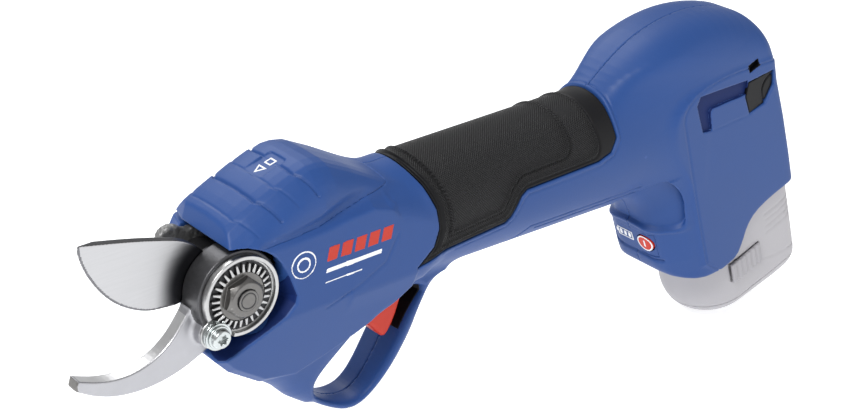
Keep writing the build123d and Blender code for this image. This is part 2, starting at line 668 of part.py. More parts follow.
# ---------------------------------------------------------------- write the pieces
PIECES = {
    "housing_left": housing_left, "housing_right": housing_right, "head_cover": head_cover,
    "status_lens": status_lens, "grip_overmould": grip_overmould, "housing_screws": housing_screws,
    "hook_blade": hook_blade, "cutting_blade": cutting_blade, "blade_gear": blade_gear,
    "drive_pinion": drive_pinion, "gear_frame": gear_frame, "pinion_bearing": pinion_bearing,
    "pivot_bush": pivot_bush, "pivot_bolt": pivot_bolt, "pivot_disc": pivot_disc,
    "pivot_nut": pivot_nut, "lock_plate": lock_plate, "lock_washer": lock_washer,
    "lock_screw": lock_screw, "gearbox_case": gearbox_case, "ring_gear": ring_gear,
    "gearbox_cover": gearbox_cover, "motor_can": motor_can, "motor_magnets": motor_magnets,
    "motor_end_cap": motor_end_cap, "motor_rotor": motor_rotor, "control_board": control_board,
    "trigger": trigger, "trigger_pin": trigger_pin, "trigger_switch": trigger_switch,
    "control_panel": control_panel, "gauge_lens": gauge_lens, "power_button": power_button,
    "gauge_board": gauge_board, "contact_block": contact_block, **INSERTS,
    "battery_shell": battery_shell, "battery_base": battery_base, "battery_cells": battery_cells,
    "battery_contacts": battery_contacts, **LATCHES,
}
os.makedirs("parts", exist_ok=True)
for label, piece in PIECES.items():
    piece.part.label = label
    export_step(piece.part, f"parts/{label}.step")
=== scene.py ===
"""Looks of the battery electric pruner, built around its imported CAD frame.

Shell and soft pieces are modelled as distance fields in millimetres around the blade
pivot (x along the handle, z up, -y the nut side) and turned into smooth meshes.
"""
import json
import math

import bpy
import numpy as np
from mathutils import Matrix, Vector


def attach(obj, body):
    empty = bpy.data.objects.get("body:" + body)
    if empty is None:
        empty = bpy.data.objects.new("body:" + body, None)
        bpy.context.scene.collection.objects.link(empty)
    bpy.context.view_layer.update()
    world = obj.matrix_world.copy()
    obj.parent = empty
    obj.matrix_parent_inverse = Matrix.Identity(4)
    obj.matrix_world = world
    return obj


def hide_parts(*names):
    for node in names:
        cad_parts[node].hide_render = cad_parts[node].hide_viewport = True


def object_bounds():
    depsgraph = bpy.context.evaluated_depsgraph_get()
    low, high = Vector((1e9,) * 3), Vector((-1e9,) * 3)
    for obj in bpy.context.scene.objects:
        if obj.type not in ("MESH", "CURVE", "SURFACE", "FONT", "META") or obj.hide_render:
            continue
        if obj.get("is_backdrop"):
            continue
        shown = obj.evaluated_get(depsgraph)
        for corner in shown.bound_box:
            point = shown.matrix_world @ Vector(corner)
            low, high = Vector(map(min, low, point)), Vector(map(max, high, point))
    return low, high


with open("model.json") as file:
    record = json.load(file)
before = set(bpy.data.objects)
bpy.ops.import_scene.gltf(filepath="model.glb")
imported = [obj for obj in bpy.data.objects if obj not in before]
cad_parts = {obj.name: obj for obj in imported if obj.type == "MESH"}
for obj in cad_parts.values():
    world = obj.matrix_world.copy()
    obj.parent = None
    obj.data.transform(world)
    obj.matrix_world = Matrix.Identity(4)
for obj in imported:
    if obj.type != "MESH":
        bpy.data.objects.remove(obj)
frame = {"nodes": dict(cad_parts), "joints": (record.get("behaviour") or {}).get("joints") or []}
cad_low, cad_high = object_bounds()
joints = {joint["name"]: joint for joint in frame["joints"]}
PIVOT = Vector(joints["blade_pivot"]["pos_m"])
MM = 0.001
LEAN_AXIS = -Vector(joints["battery_slide"]["axis"])  # up along the leaning rear head
LEAN_S, LEAN_C = -LEAN_AXIS.x, LEAN_AXIS.z
REAR_X = 245.0  # rear head's own origin behind the pivot
STEP = 0.6  # cell size of the big shells
SEAM = 0.03  # half the gap between the housing halves


# ---- distance-field helpers
def smin(a, b, k):
    """Union of two fields with a fillet about k wide."""
    h = np.clip(0.5 + 0.5 * (b - a) / k, 0, 1)
    return b + (a - b) * h - k * h * (1 - h)


def smax(a, b, k):
    """Intersection of two fields with an edge rounded about k wide."""
    return -smin(-a, -b, k)


def soft(points, rounds=2):
    """Closed outline with its corners cut back, for rounded profiles."""
    ring = np.array(points, float)
    for _ in range(rounds):
        following = np.roll(ring, -1, axis=0)
        ring = np.stack([0.75 * ring + 0.25 * following, 0.25 * ring + 0.75 * following], 1).reshape(-1, 2)
    return ring


def bend(points, rounds=2):
    """Open chain with its inner corners cut back and its ends kept."""
    chain = np.array(points, float)
    for _ in range(rounds):
        cuts = np.stack([0.75 * chain[:-1] + 0.25 * chain[1:], 0.25 * chain[:-1] + 0.75 * chain[1:]], 1)
        chain = np.vstack([chain[:1], cuts.reshape(-1, 2)[1:-1], chain[-1:]])
    return chain


def poly(u, v, points):
    """Signed distance to a closed polygon, negative inside."""
    ring = np.asarray(points, float)
    best = np.full(np.broadcast(u, v).shape, 1e9)
    inside = np.zeros(best.shape, bool)
    for (au, av), (bu, bv) in zip(ring, np.roll(ring, -1, axis=0)):
        eu, ev = bu - au, bv - av
        wu, wv = u - au, v - av
        t = np.clip((wu * eu + wv * ev) / (eu * eu + ev * ev + 1e-12), 0, 1)
        best = np.minimum(best, (wu - eu * t) ** 2 + (wv - ev * t) ** 2)
        if abs(ev) > 1e-9:
            inside ^= ((av > v) != (bv > v)) & (u < eu * (v - av) / ev + au)
    return np.where(inside, -1, 1) * np.sqrt(best)


def trail(u, v, points):
    """Distance to an open chain of straight runs."""
    best = np.full(np.broadcast(u, v).shape, 1e9)
    for (au, av), (bu, bv) in zip(points, points[1:]):
        eu, ev = bu - au, bv - av
        wu, wv = u - au, v - av
        t = np.clip((wu * eu + wv * ev) / (eu * eu + ev * ev), 0, 1)
        best = np.minimum(best, (wu - eu * t) ** 2 + (wv - ev * t) ** 2)
    return np.sqrt(best)


def rod(u, v, cu, cv, radius):
    """Distance to a round rod seen end on."""
    return np.hypot(u - cu, v - cv) - radius


def lean(x, z):
    """Rearward and upward coordinates of the leaning rear head."""
    return (x - REAR_X) * LEAN_C + z * LEAN_S, -(x - REAR_X) * LEAN_S + z * LEAN_C


def lean_place(r, u, y):
    """Point of the rear head's own frame, in millimetres around the pivot."""
    return REAR_X + r * LEAN_C - u * LEAN_S, y, r * LEAN_S + u * LEAN_C


CORNERS = [(i, j, k) for i in (0, 1) for j in (0, 1) for k in (0, 1)]
EDGES = [(a, b) for a in CORNERS for b in CORNERS
         if sum(b) - sum(a) == 1 and all(p <= q for p, q in zip(a, b))]


def skin(name, field, low, high, step):
    """Meshes the zero surface of a field inside a box: one vertex a cell, settled onto the surface."""
    axes = [np.arange(lo, hi + step, step) for lo, hi in zip(low, high)]
    x, y, z = np.meshgrid(*axes, indexing="ij", sparse=True)
    shape = tuple(len(a) for a in axes)
    values = np.broadcast_to(field(x, y, z), shape).astype(np.float32)
    inside = values < 0
    count = sum(inside[i:shape[0] - 1 + i, j:shape[1] - 1 + j, k:shape[2] - 1 + k].astype(np.int8)
                for i, j, k in CORNERS)
    active = (count > 0) & (count < 8)
    cells = np.argwhere(active)
    number = np.full(active.shape, -1, np.int64)
    number[active] = np.arange(len(cells))
    total, hits = np.zeros((len(cells), 3)), np.zeros((len(cells), 1))
    for a, b in EDGES:
        fa = values[tuple((cells + a).T)].astype(float)
        fb = values[tuple((cells + b).T)].astype(float)
        crossed = (fa < 0) != (fb < 0)
        t = np.where(crossed, fa / np.where(crossed, fa - fb, 1), 0)[:, None]
        total += np.where(crossed[:, None], np.array(a) + t * (np.array(b) - np.array(a)), 0)
        hits += crossed[:, None]
    points = (cells + total / hits) * step + [a[0] for a in axes]
    for _ in range(2):
        points = settle(points, field, 0.6 * step)
    quads = []
    for axis in range(3):
        side_a, side_b = (axis + 1) % 3, (axis + 2) % 3
        first = np.take(inside, range(shape[axis] - 1), axis)
        second = np.take(inside, range(1, shape[axis]), axis)
        for outward in (True, False):
            at = np.argwhere(first & ~second if outward else ~first & second)
            keep = np.ones(len(at), bool)
            for side in (side_a, side_b):
                keep &= (at[:, side] > 0) & (at[:, side] < shape[side] - 1)
            at = at[keep]
            ring = []
            for da, db in ((-1, -1), (0, -1), (0, 0), (-1, 0)):
                cell = at.copy()
                cell[:, side_a] += da
                cell[:, side_b] += db
                ring.append(number[tuple(cell.T)])
            quads.append(np.stack(ring if outward else ring[::-1], 1))
    return mesh_piece(name, points, np.concatenate(quads))


def settle(points, field, most):
    """Moves points onto the field's zero surface, each by a limited step."""
    x, y, z = points.T
    here = field(x, y, z)
    eps = 0.02
    slope = np.stack([field(x + eps, y, z) - here, field(x, y + eps, z) - here,
                      field(x, y, z + eps) - here], 1) / eps
    size = np.maximum((slope ** 2).sum(1), 0.05)
    move = -slope * (here / size)[:, None]
    length = np.linalg.norm(move, axis=1)[:, None]
    return points + move * np.minimum(1, most / np.maximum(length, 1e-9))


def mesh_piece(name, points, faces):
    """New object from points in millimetres around the pivot."""
    mesh = bpy.data.meshes.new(name)
    places = np.asarray(points, float) * MM + np.array(PIVOT)
    mesh.from_pydata(places.tolist(), [], [list(map(int, face)) for face in faces])
    mesh.polygons.foreach_set("use_smooth", [True] * len(mesh.polygons))
    mesh.update()
    piece = bpy.data.objects.new(name, mesh)
    bpy.context.scene.collection.objects.link(piece)
    return piece


# ---- outlines (mm)
HEAD_SIDE = soft([(1, 15), (60, 18), (72, 14), (86, 0), (88, -22), (68, -26.5), (59, -34), (46, -47),
                  (38, -56), (37, -66), (28, -59), (15.5, -48.5), (-3, -31.5), (-11, -23.5), (-8, -19),
                  (-2, -10)], 1)
GUARD_OUT = soft([(30, -28), (100, -24), (105, -30), (97, -33.5), (91, -43), (86, -53), (77.6, -64.4),
                  (69, -72.4), (61.5, -77), (54.2, -77.9), (46.4, -74), (36, -66), (22, -54)])
LOOP_SIDE = soft([(64, -31), (58, -38), (48, -45.4), (39.8, -52), (36.4, -57), (40, -65), (47, -70.2),
                  (54, -72.6), (60, -72.0), (66.8, -66.5), (75.8, -53.5), (83.3, -41), (92.5, -31.5)])
HEAD_PANEL = soft([(-4, -20), (-2, 16), (34, 16.3), (46, 19), (57, 19.5), (64, 14.5), (70, 5), (78, -20),
                   (66, -29), (45, -38), (18, -46), (-10, -24)], 1)
PIVOT_RECESS = [(0, 13), (8.7, 12.5), (16, 8.5), (19.5, 2), (22.5, -7), (21.5, -10), (17, -14), (6, -19.5),
                (-4, -24), (-16, -28), (-20, -12)]
REAR_CORE = soft([(-48.2, 31), (-45.2, 42.3), (-27, 48.2), (-6, 48), (14, 43), (34, 32), (60, 10),
                  (60, -120), (-34, -120), (-42, -60)], 2)
REAR_FOOT = soft([(-60, 80), (60, 80), (60, -56), (34, -56.5), (20, -56.5), (10, -58), (4, -62), (0, -68),
                  (-5, -73.5), (-14, -74), (-22, -73.4), (-31, -70.8), (-39, -65.4), (-44.5, -57.6),
                  (-60, -30)], 1)
REAR_PANEL = soft([(-24.3, -90), (-24.3, 12), (-22, 18.5), (-12, 22.5), (6, 20.5), (24, 15), (60, 4),
                   (60, -90)], 1)
GRIP_SIDE = [(74, 40), (76.5, 28.5), (80.4, 22.6), (84.3, 15), (86.9, 6.5), (86.8, -1), (84.2, -8),
             (76, -14.5), (86, -13), (121, -10.2), (124, -8), (129, -0.8), (132, 1.0), (171, 1.5),
             (178.5, 3.4), (183, 8.2), (184, 40)]
L_GROOVE = [(16.4, 11.3), (-12, 20), (-14.8, 16.8), (-13.9, 2.6), (-8.6, 0.3), (-7.8, 9.4), (-6, 10.4),
            (15, 5)]
INSERT = [(16.6, 10), (32.5, 7), (31.4, 0), (24.6, -5.7), (14.8, -5), (13.7, 4.3)]
BLADE_EDGE = bend([(-20, -2.6), (-24, -2.2), (-29.8, -1.4), (-36.8, 2.0), (-43.3, 7.4), (-48.4, 14.4),
                   (-52, 22), (-53.6, 28.5), (-53.4, 30.8)])
BLADE_BACK = bend([(-53, 31.6), (-34.2, 27.2), (-21, 23.4), (-13, 20.4), (-7, 15.6), (-2, 8)])
BLADE = np.vstack([BLADE_EDGE, BLADE_BACK, [(0, 0)]])
HOOK_IN = bend([(-61.2, -13.9), (-53.5, -17.4), (-46, -19), (-38.5, -18.7), (-31, -16.1), (-25.6, -12.4),
                (-21.6, -8.2), (-17, -2)])
HOOK_OUT = bend([(-4, -17), (-13.1, -21.2), (-22.8, -25.2), (-34.9, -27), (-46.5, -25.8), (-55.5, -22.2),
                 (-62.4, -17.4)])
HOOK = np.vstack([HOOK_IN, [(0, 0)], HOOK_OUT])
TRIGGER = soft([(60.4, -39), (64.6, -35), (64.6, -24), (69, -20.5), (76, -21.5), (83.4, -26.5), (82, -34),
                (77.7, -44.8), (73.6, -50.6), (71.0, -50), (66, -43.4)], 1)
SLOT = [(18, 14), (24.6, 14.4), (24.8, 17.6), (18.2, 17.3)]
CELLS = ((-6, -9.6), (-6, 9.6), (10.6, 0))  # battery cells, seen along the pack
SCREW_SPOTS = ((16, -27, 2.7), (52, -27, 2.7), (96, -24, 2.7), (165, -24, 2.7),
               (55, -75.2, 1.2))  # x, z and head radius
LOCK = (-11.2, -11.6)  # x and z of the lock screw
BUTTON_Y, BUTTON_U, GAUGE_Y, GAUGE_U = -7.5, -47, 4.4, -46.4
LATCH_R, LATCH_U = 2, -83
HALF = 23.85  # half width of the cutting head
BLADE_FACE, HOOK_FACE, NUT_FACE = -8.2, -8.5, -25.0  # y of the stacked faces on the pivot
BORE = 6  # radius of the pivot bush's bore
NUT_TEETH = 28
LIP_X, LIP_Z, SWEEP = -3.3, 16, 0.65  # cover's front edge, and how its grooves sweep back
RIDGE = ([-8, -0.3, 6.6, 12.5, 20, 28, 34, 38, 42, 47, 53, 62, 70, 78],
         [20.5, 24.5, 28, 30.6, 33.6, 36.4, 37.7, 37.7, 36.9, 34.3, 31.2, 26, 21.4, 16.5])
FALL = ([0, 9, 13, 15.5, 18, 20, 22, 24], [0, 0.3, 0.9, 1.9, 4.3, 6.6, 9.2, 12])
SCALES = ((2.8, 0.35, 0.35), (12.2, 0.9, 0.5), (19.9, 0.35, 0.35), (28.4, 0.9, 0.5))   # place, depth, width


# ---- housing fields
def handle(x, y, z):
    """Oval handle, a little deeper towards the rear."""
    along = np.clip((x - 96) / 92, -0.6, 1.4)
    ry, rz = 23.4, 25.3 + 2.0 * along
    v = z + 2.8 + 1.4 * along
    k = np.sqrt((y / ry) ** 2 + (v / rz) ** 2) + 1e-9
    return k * (k - 1) / np.sqrt((y / ry ** 2) ** 2 + (v / rz ** 2) ** 2 + 1e-12)


def front_head(x, y, z):
    """Cutting head and finger guard."""
    ay = np.abs(y)
    width = 23.0 - 0.27 * np.clip(-14 - z, 0, 60)
    body = smax(poly(x, z, HEAD_SIDE), (ay - width) * 0.965, 9)
    proud = ay - width - 0.8
    panel = np.maximum(proud * 0.965, (poly(x, z, HEAD_PANEL) + np.maximum(proud, -2.5)) * 0.72)
    guard = smax(poly(x, z, GUARD_OUT), ay - 10.5, 9)
    body = smin(np.minimum(body, panel), guard, 6)
    return smax(body, -poly(x, z, LOOP_SIDE) + 0.09 * ay, np.interp(y, [2, 7], [3, 1.5]))


def rear_head(x, y, z):
    """Leaning rear head with its dome, bowed front and flat side panels."""
    r, u = lean(x, z)
    ay = np.abs(y)
    front = r + 42.3 + np.interp(u, [-66, -58, -42, -28, 16, 27, 38], [0.4, 1.4, 1.4, 0, 0, 4.2, 4.6])
    bow = (-12.5 * front + 18 * (ay - 12.5)) / 21.9
    core = smax(poly(r, u, REAR_CORE), bow, 5)
    core = smax(core, ay - 24.2, np.interp(u, [-30, 28], [4, 20]))
    panel = np.maximum(ay - 25, (poly(r, u, REAR_PANEL) + np.maximum(0.8 * (ay - 25), -3)) * 0.78)
    body = smin(core, panel, 1.5)
    body = smax(body, r - np.interp(u, [-40, 0, 20], [37.2, 36.2, 37.6]), np.interp(u, [-20, 20], [4, 7]))
    return smax(body, poly(r, u, REAR_FOOT), 2)


def swept(x, y):
    """Place along the cover, swept back on its side facets."""
    return x - SWEEP * np.clip(np.abs(y) - 13, 0, 9) * np.clip(1.8 - x / 40, 0, 1)


def hump(x, y, z):
    """Stepped top cover of the cutting head."""
    ay = np.abs(y)
    s = swept(x, y)
    body = (z - np.interp(x, *RIDGE) + np.interp(ay, *FALL)) * 0.82
    body = smax(body, (ay - 22.6 + np.clip((x - 36) * 0.2, 0, 7)) * 0.97, 3)
    share = np.clip((21.8 - ay) / 0.8, 0, 1) * np.clip((z - 17.5) / 1.5, 0, 1)
    for place, depth, width in SCALES:
        step = s - place
        body = body + depth * share * np.exp(-(step / width) ** 2)
        body = body + 0.45 * depth * share * np.exp(-np.clip(step, 0, 50) / 3) * np.clip(step / 0.4, 0, 1)
    front = (-8.5 * (x - LIP_X - 0.3 * np.clip(y - 12, 0, 12)) + 3 * (z - LIP_Z)) / 9.01
    return np.maximum(smax(body, front, 0.8), np.maximum(8 - z, x - 78))


def casing(x, y, z):
    """Outside of the housing and its top cover together."""
    ay = np.abs(y)
    tube = smax(handle(x, y, z), np.maximum(50 - x, x - 226), 1)
    body = smin(tube, front_head(x, y, z), 7)
    body = smin(body, rear_head(x, y, z), 12)
    body = smax(smin(body, hump(x, y, z), 2.5), ay - np.interp(x, [84, 110], [HALF, 25.05]), 0.5)
    groove = trail(x, z, [(7, 16.4), (21, 16.8), (34, 18), (45, 20.6), (57, 22.3), (68, 19.5)])
    reach = np.interp(x, [4, 10, 34, 52, 64, 72], [0.4, 2.2, 3.4, 5.2, 6.0, 3.5])
    return smax(body, reach - np.hypot(groove, (ay - 25.5) * 0.8), 1.2)


def pivot_recess(x, y, z):
    """Recess in the left flank round the pivot; negative inside."""
    return np.maximum(poly(x, z, PIVOT_RECESS) + 0.32 * (y + 25), y + 12.8)


def details(x, y, z, body):
    """Outside with every groove, recess and parting line cut into it."""
    r, u = lean(x, z)
    ay = np.abs(y)
    body = smax(body, -pivot_recess(x, y, z), 0.6)
    frame_line = trail(x, z, [(67.3, 3.6), (61.3, -6.5), (49.4, -11.9), (34.4, -16.5)])
    body = body + 0.4 * np.exp(-(frame_line / 0.35) ** 2) * (ay > 20)
    for line in (trail(x, z, [(128, -25.5), (131.6, -23.2), (137.1, -17.8), (200, -19.6)]),
                 trail(x, z, [(141, -20.4), (200, -22.2)])):
        body = body + 0.5 * np.exp(-(line / 0.35) ** 2) * (ay > 6)
    zone = poly(x, z, GRIP_SIDE)
    body = body + 0.4 * np.exp(-((zone - 1.9) / 0.35) ** 2) * (x > 96)
    body = body - 0.25 * np.exp(-((zone - 0.9) / 0.9) ** 2) * (x > 90)
    body = np.maximum(body, -np.maximum(poly(r, u, L_GROOVE), 23.5 - ay))
    body = np.maximum(body, -np.maximum(poly(r, u, INSERT) - 0.25, 23.0 - ay))
    body = np.maximum(body, -np.maximum(poly(r, u, SLOT), 21 - ay))
    edge = trail(r, u, [(-8, 0), (16, -6)])
    rim = poly(r, u, REAR_PANEL) + 0.4
    body = body + (0.25 * np.exp(-(edge / 0.3) ** 2) + 0.4 * np.exp(-(rim / 0.4) ** 2) * (r < 36)) * (ay > 20)
    notch = np.sqrt(((r + 45.5) / 2.2) ** 2 + ((y - 3) / 5.0) ** 2 + ((u - 37.5) / 1.6) ** 2) * 1.6 - 1.6
    body = smax(body, -notch, 0.6)
    inset = smax(ay - 21.3, np.maximum(-35.5 - 0.011 * y ** 2 - u, u + 9), 5)
    chin = (r < -22) & (r > -60)
    body = body + 1.7 * np.clip(0.5 - inset / 1.2, 0, 1) * chin
    body = body - 0.6 * np.exp(-((inset - 1.3) / 0.8) ** 2) * (u < -12) * chin
    channel = trail(y, u, [(13.9, -42.5), (14, -52.6), (12.4, -55), (-1.5, -55.2), (-13.8, -56.2)])
    return body + 1.1 * np.exp(-(channel / 0.75) ** 2) * (r < -30) * chin


def hollows(x, y, z, outside):
    """Everything the housing is hollowed out by; negative inside a hollow."""
    ay = np.abs(y)
    r, u = lean(x, z)
    bore = np.maximum(np.hypot(y / 19.3, (z + 3.2) / 22.3) * 19.3 - 19.3, np.maximum(62 - x, x - 214))
    head = np.maximum(poly(x, z, [(14, 40), (62, 40), (62, -17), (58, -20), (14, -20)]), ay - 20.6)
    head = np.maximum(head, outside + 2.2)
    swing = np.maximum(rod(x, z, 0, 0, 23.2), np.maximum(-9 - y, y - 8.8))
    boss = np.maximum(rod(x, z, 0, 0, 17.6), np.maximum(-30 - y, y - 13))
    nose = poly(x, z, [(-40, 14.5), (4, 14.5), (4, -10), (-8, -18), (-40, -18)])
    nose = np.maximum(nose, np.maximum(-30 - y, y - 8.8))
    far_nose = np.maximum(x + 4.5 + 0.35 * (z + 10), 7.5 - y)
    well = smax(poly(x, z, [(61.3, -18.5), (89, -18.5), (90.5, -31), (84.5, -37), (61.3, -40)]), ay - 8, 0.5)
    pack = poly(r, u, [(-27, -62), (-38.5, -62), (-39, -51), (-39, 31), (-33, 39), (-20, 42.5), (-7, 42.5),
                       (10, 38.5), (24, 29), (33, 16), (34.2, 8), (34.2, -70)])
    pack = np.maximum(np.maximum(pack, ay - 22.5), outside + np.interp(r, [-30, 0], [4.5, 2.4]))
    pack = np.minimum(pack, np.maximum(smax(np.abs(r - 3.65) - 30.6, ay - 22.5, 8), u + 50))
    best = bore
    for part in (head, swing, boss, nose, far_nose, well, pack):
        best = np.minimum(best, part)
    for sx, sz, head_r in SCREW_SPOTS:
        post = np.maximum(rod(x, z, sx, sz, head_r + 1.7), ay - 13)
        best = np.maximum(best, -post)
    for sx, sz, head_r in SCREW_SPOTS:
        best = np.minimum(best, np.maximum(rod(x, z, sx, sz, head_r + 0.2), 6.0 - y))
        best = np.minimum(best, np.maximum(rod(x, z, sx, sz, 1.35), -7.5 - y))
    best = np.minimum(best, np.maximum(rod(x, z, 0, 0, 9), 8 - y))
    return best


def cover_zone(x, y, z):
    """Space that belongs to the top cover, ending in the groove round its foot."""
    foot = np.interp(x, [-10, 21, 34, 45, 57, 70], [15.6, 15.6, 16.4, 18.6, 20.3, 20.3])
    return np.maximum(foot - z, x - 69)


def panel_zone(x, y, z):
    """Pocket of the control panel in the chin of the rear head."""
    r, u = lean(x, z)
    return np.maximum(np.maximum(np.abs(y) - 13, np.abs(u + 47.5) - 6.4), r + 33)


def shell(side):
    """Field of one housing half; side is -1 for left and 1 for right."""
    def field(x, y, z):
        outside = casing(x, y, z)
        body = solid = details(x, y, z, outside)
        grip_seat = np.maximum(poly(x, z, GRIP_SIDE) - 0.15, -(outside + 2.2))
        body = smax(body, -grip_seat, 0.4)
        body = np.maximum(body, -(cover_zone(x, y, z) + 0.12))
        body = np.maximum(body, -(panel_zone(x, y, z) - 0.15))
        body = np.maximum(body, -hollows(x, y, z, np.maximum(solid, outside)))
        return np.maximum(body, SEAM - side * y)
    return field


def window(x, z):
    """Flat floor of the cover's recess, deepest at its rear."""
    return (z - 33.0 - 0.27 * (x - 19.4)) * 0.965


def cover(x, y, z):
    """Hollow top cover with the small recess for its status marks."""
    outside = casing(x, y, z)
    recess = np.maximum(smax(np.abs(x - 25.6) - 6.2, np.abs(y) - 5.0, 1.5), -window(x, z))
    body = np.maximum(outside, -recess)
    body = np.maximum(body, cover_zone(x, y, z))
    body = np.maximum(body, -(outside + 2.4))
    return np.maximum(body, -np.maximum(rod(x, z, 0, 0, 17.8), np.abs(y) - 30))


def grip(x, y, z):
    """Soft grip: a thin skin in its seat with two raised bead lines."""
    outside = casing(x, y, z)
    zone = poly(x, z, GRIP_SIDE)
    outer = smax(zone + 3.0, x - 172, 6)
    inner = smax(zone + 7.2, x - 157.5, 7)
    bead = 0.0
    for line in (outer, inner):
        bead = bead + 0.7 * np.exp(-(line / 0.5) ** 2) - 0.5 * np.exp(-((line - 1.1) / 0.5) ** 2)
    front = np.exp(-((zone + 1.4) / 0.35) ** 2) * (x < 92)
    sleeve = smax(outside + 0.1 - bead + 0.4 * front, zone + 0.25, 0.9)
    return np.maximum(sleeve, -(outside + 1.9))


# ---- materials
def links(tree, *pairs):
    """Joins each pair of sockets."""
    for out, into in pairs:
        tree.links.new(out, into)


def node(tree, kind, values=(), operation=None):
    """New shader node with the plain values of its own sockets."""
    made = tree.nodes.new("ShaderNode" + kind)
    if operation:
        made.operation = operation
    for socket, value in dict(values).items():
        made.inputs[socket].default_value = value
    return made


def surface(name, colour, rough, metal=0.0, grain=900, bump=0.1, vary=0.12, spread=0.08, stretch=(1, 1, 1),
            coat=0.0, wear=0.0, depth=0.0002, gloss=0.3):
    """Procedural material: grain in the bump, slow change in the colour, and roughness that follows both."""
    material = bpy.data.materials.new(name)
    material.use_nodes = True
    tree = material.node_tree
    shader = tree.nodes["Principled BSDF"]
    shader.inputs["Metallic"].default_value = metal
    shader.inputs["Coat Weight"].default_value = coat
    shader.inputs["Specular IOR Level"].default_value = gloss
    place = node(tree, "TexCoord")
    scale = node(tree, "Mapping", {"Scale": stretch})
    fine = node(tree, "TexNoise", {"Scale": grain, "Detail": 3})
    slow = node(tree, "TexNoise", {"Scale": 38, "Detail": 5})
    mix = node(tree, "MixRGB", {1: (*[c * (1 - vary) for c in colour], 1),
                                2: (*[min(1, c * (1 + vary)) for c in colour], 1)})
    blend = node(tree, "Math", {1: 0.6}, "MULTIPLY_ADD")
    blend.use_clamp = True
    ramp = node(tree, "MapRange", {"To Min": rough - spread, "To Max": rough + spread})
    bumps = node(tree, "Bump", {"Strength": bump, "Distance": depth})
    share = node(tree, "Math", {1: 0.4}, "MULTIPLY")
    links(tree, (place.outputs["Object"], scale.inputs["Vector"]), (scale.outputs[0], fine.inputs["Vector"]),
          (place.outputs["Object"], slow.inputs["Vector"]), (slow.outputs["Fac"], share.inputs[0]),
          (fine.outputs["Fac"], blend.inputs[0]), (share.outputs[0], blend.inputs[2]),
          (blend.outputs[0], mix.inputs[0]), (blend.outputs[0], ramp.inputs["Value"]),
          (ramp.outputs[0], shader.inputs["Roughness"]), (fine.outputs["Fac"], bumps.inputs["Height"]),
          (bumps.outputs[0], shader.inputs["Normal"]))
    last = mix.outputs[0]
    if wear:
        form = node(tree, "NewGeometry")
        edge = node(tree, "MapRange", {"From Min": 0.52, "From Max": 0.62, "To Max": wear})
        light = node(tree, "MixRGB", {2: (*[min(1, c * 1.6 + 0.06) for c in colour], 1)})
        links(tree, (form.outputs["Pointiness"], edge.inputs["Value"]), (edge.outputs[0], light.inputs[0]),
              (last, light.inputs[1]))
        last = light.outputs[0]
    links(tree, (last, shader.inputs["Base Color"]))
    return material


def woven(name, colour, rough, pitch):
    """Rubber with a fine grid of dots that runs round the handle; pitch is in metres."""
    material = surface(name, colour, rough, grain=1400, bump=0.1, vary=0.2)
    tree = material.node_tree
    place = node(tree, "TexCoord")
    split = node(tree, "SeparateXYZ")
    lift = node(tree, "Math", {1: -(PIVOT.z - 3.2 * MM)})
    around = node(tree, "Math", (), "ARCTAN2")
    links(tree, (place.outputs["Object"], split.inputs[0]), (split.outputs["Z"], lift.inputs[0]),
          (lift.outputs[0], around.inputs[0]), (split.outputs["Y"], around.inputs[1]))
    both = node(tree, "Math", (), "MULTIPLY")
    rows = (split.outputs["X"], 2 * math.pi / pitch), (around.outputs[0], round(0.135 / pitch))
    for number, (source, turns) in enumerate(rows):
        times = node(tree, "Math", {1: turns}, "MULTIPLY")
        wave = node(tree, "Math", (), "SINE")
        links(tree, (source, times.inputs[0]), (times.outputs[0], wave.inputs[0]),
              (wave.outputs[0], both.inputs[number]))
    bumps = node(tree, "Bump", {"Strength": 0.9, "Distance": 0.0003})
    links(tree, (both.outputs[0], bumps.inputs["Height"]),
          (bumps.outputs[0], tree.nodes["Principled BSDF"].inputs["Normal"]))
    return material


def shade_and_burnish(material, dark, near, far, centre):
    """Darks a metal towards a point: painted shade where the blade runs in under the hook's barrel, mixed
    with the real black burnish of the blade's root.
    """
    tree = material.node_tree
    target = tree.nodes["Principled BSDF"].inputs["Base Color"]
    base = target.links[0].from_socket
    place = node(tree, "TexCoord")
    gap = node(tree, "VectorMath", {1: centre}, "DISTANCE")
    fade = node(tree, "MapRange", {"From Min": near, "From Max": far})
    fade.interpolation_type = "SMOOTHSTEP"
    mix = node(tree, "MixRGB", {1: (*dark, 1)})
    links(tree, (place.outputs["Object"], gap.inputs[0]), (gap.outputs["Value"], fade.inputs["Value"]),
          (fade.outputs[0], mix.inputs[0]), (base, mix.inputs[2]), (mix.outputs[0], target))
    return material


BLUE = surface("blue_moulded", (0.016, 0.058, 0.215), 0.47, grain=2200, bump=0.22, vary=0.10, wear=0.25)
# Darker blue that paints the shade in the flank grooves and in the recess under the pivot.
PAINTED_SHADE_BLUE = surface("painted_shade_blue", (0.006, 0.018, 0.095), 0.5, grain=2200, bump=0.2, vary=0.10, gloss=0.12)
RUBBER = surface("black_rubber", (0.006, 0.006, 0.007), 0.5, grain=1500, bump=0.15, vary=0.25, gloss=0.2)
WEAVE = woven("black_weave", (0.008, 0.008, 0.009), 0.55, 0.0011)
DARK_PLASTIC = surface("black_moulded", (0.004, 0.004, 0.005), 0.36, grain=1800, bump=0.15, vary=0.2,
                       gloss=0.12)
RED = surface("red_moulded", (0.52, 0.028, 0.010), 0.40, grain=1800, bump=0.12, vary=0.06)
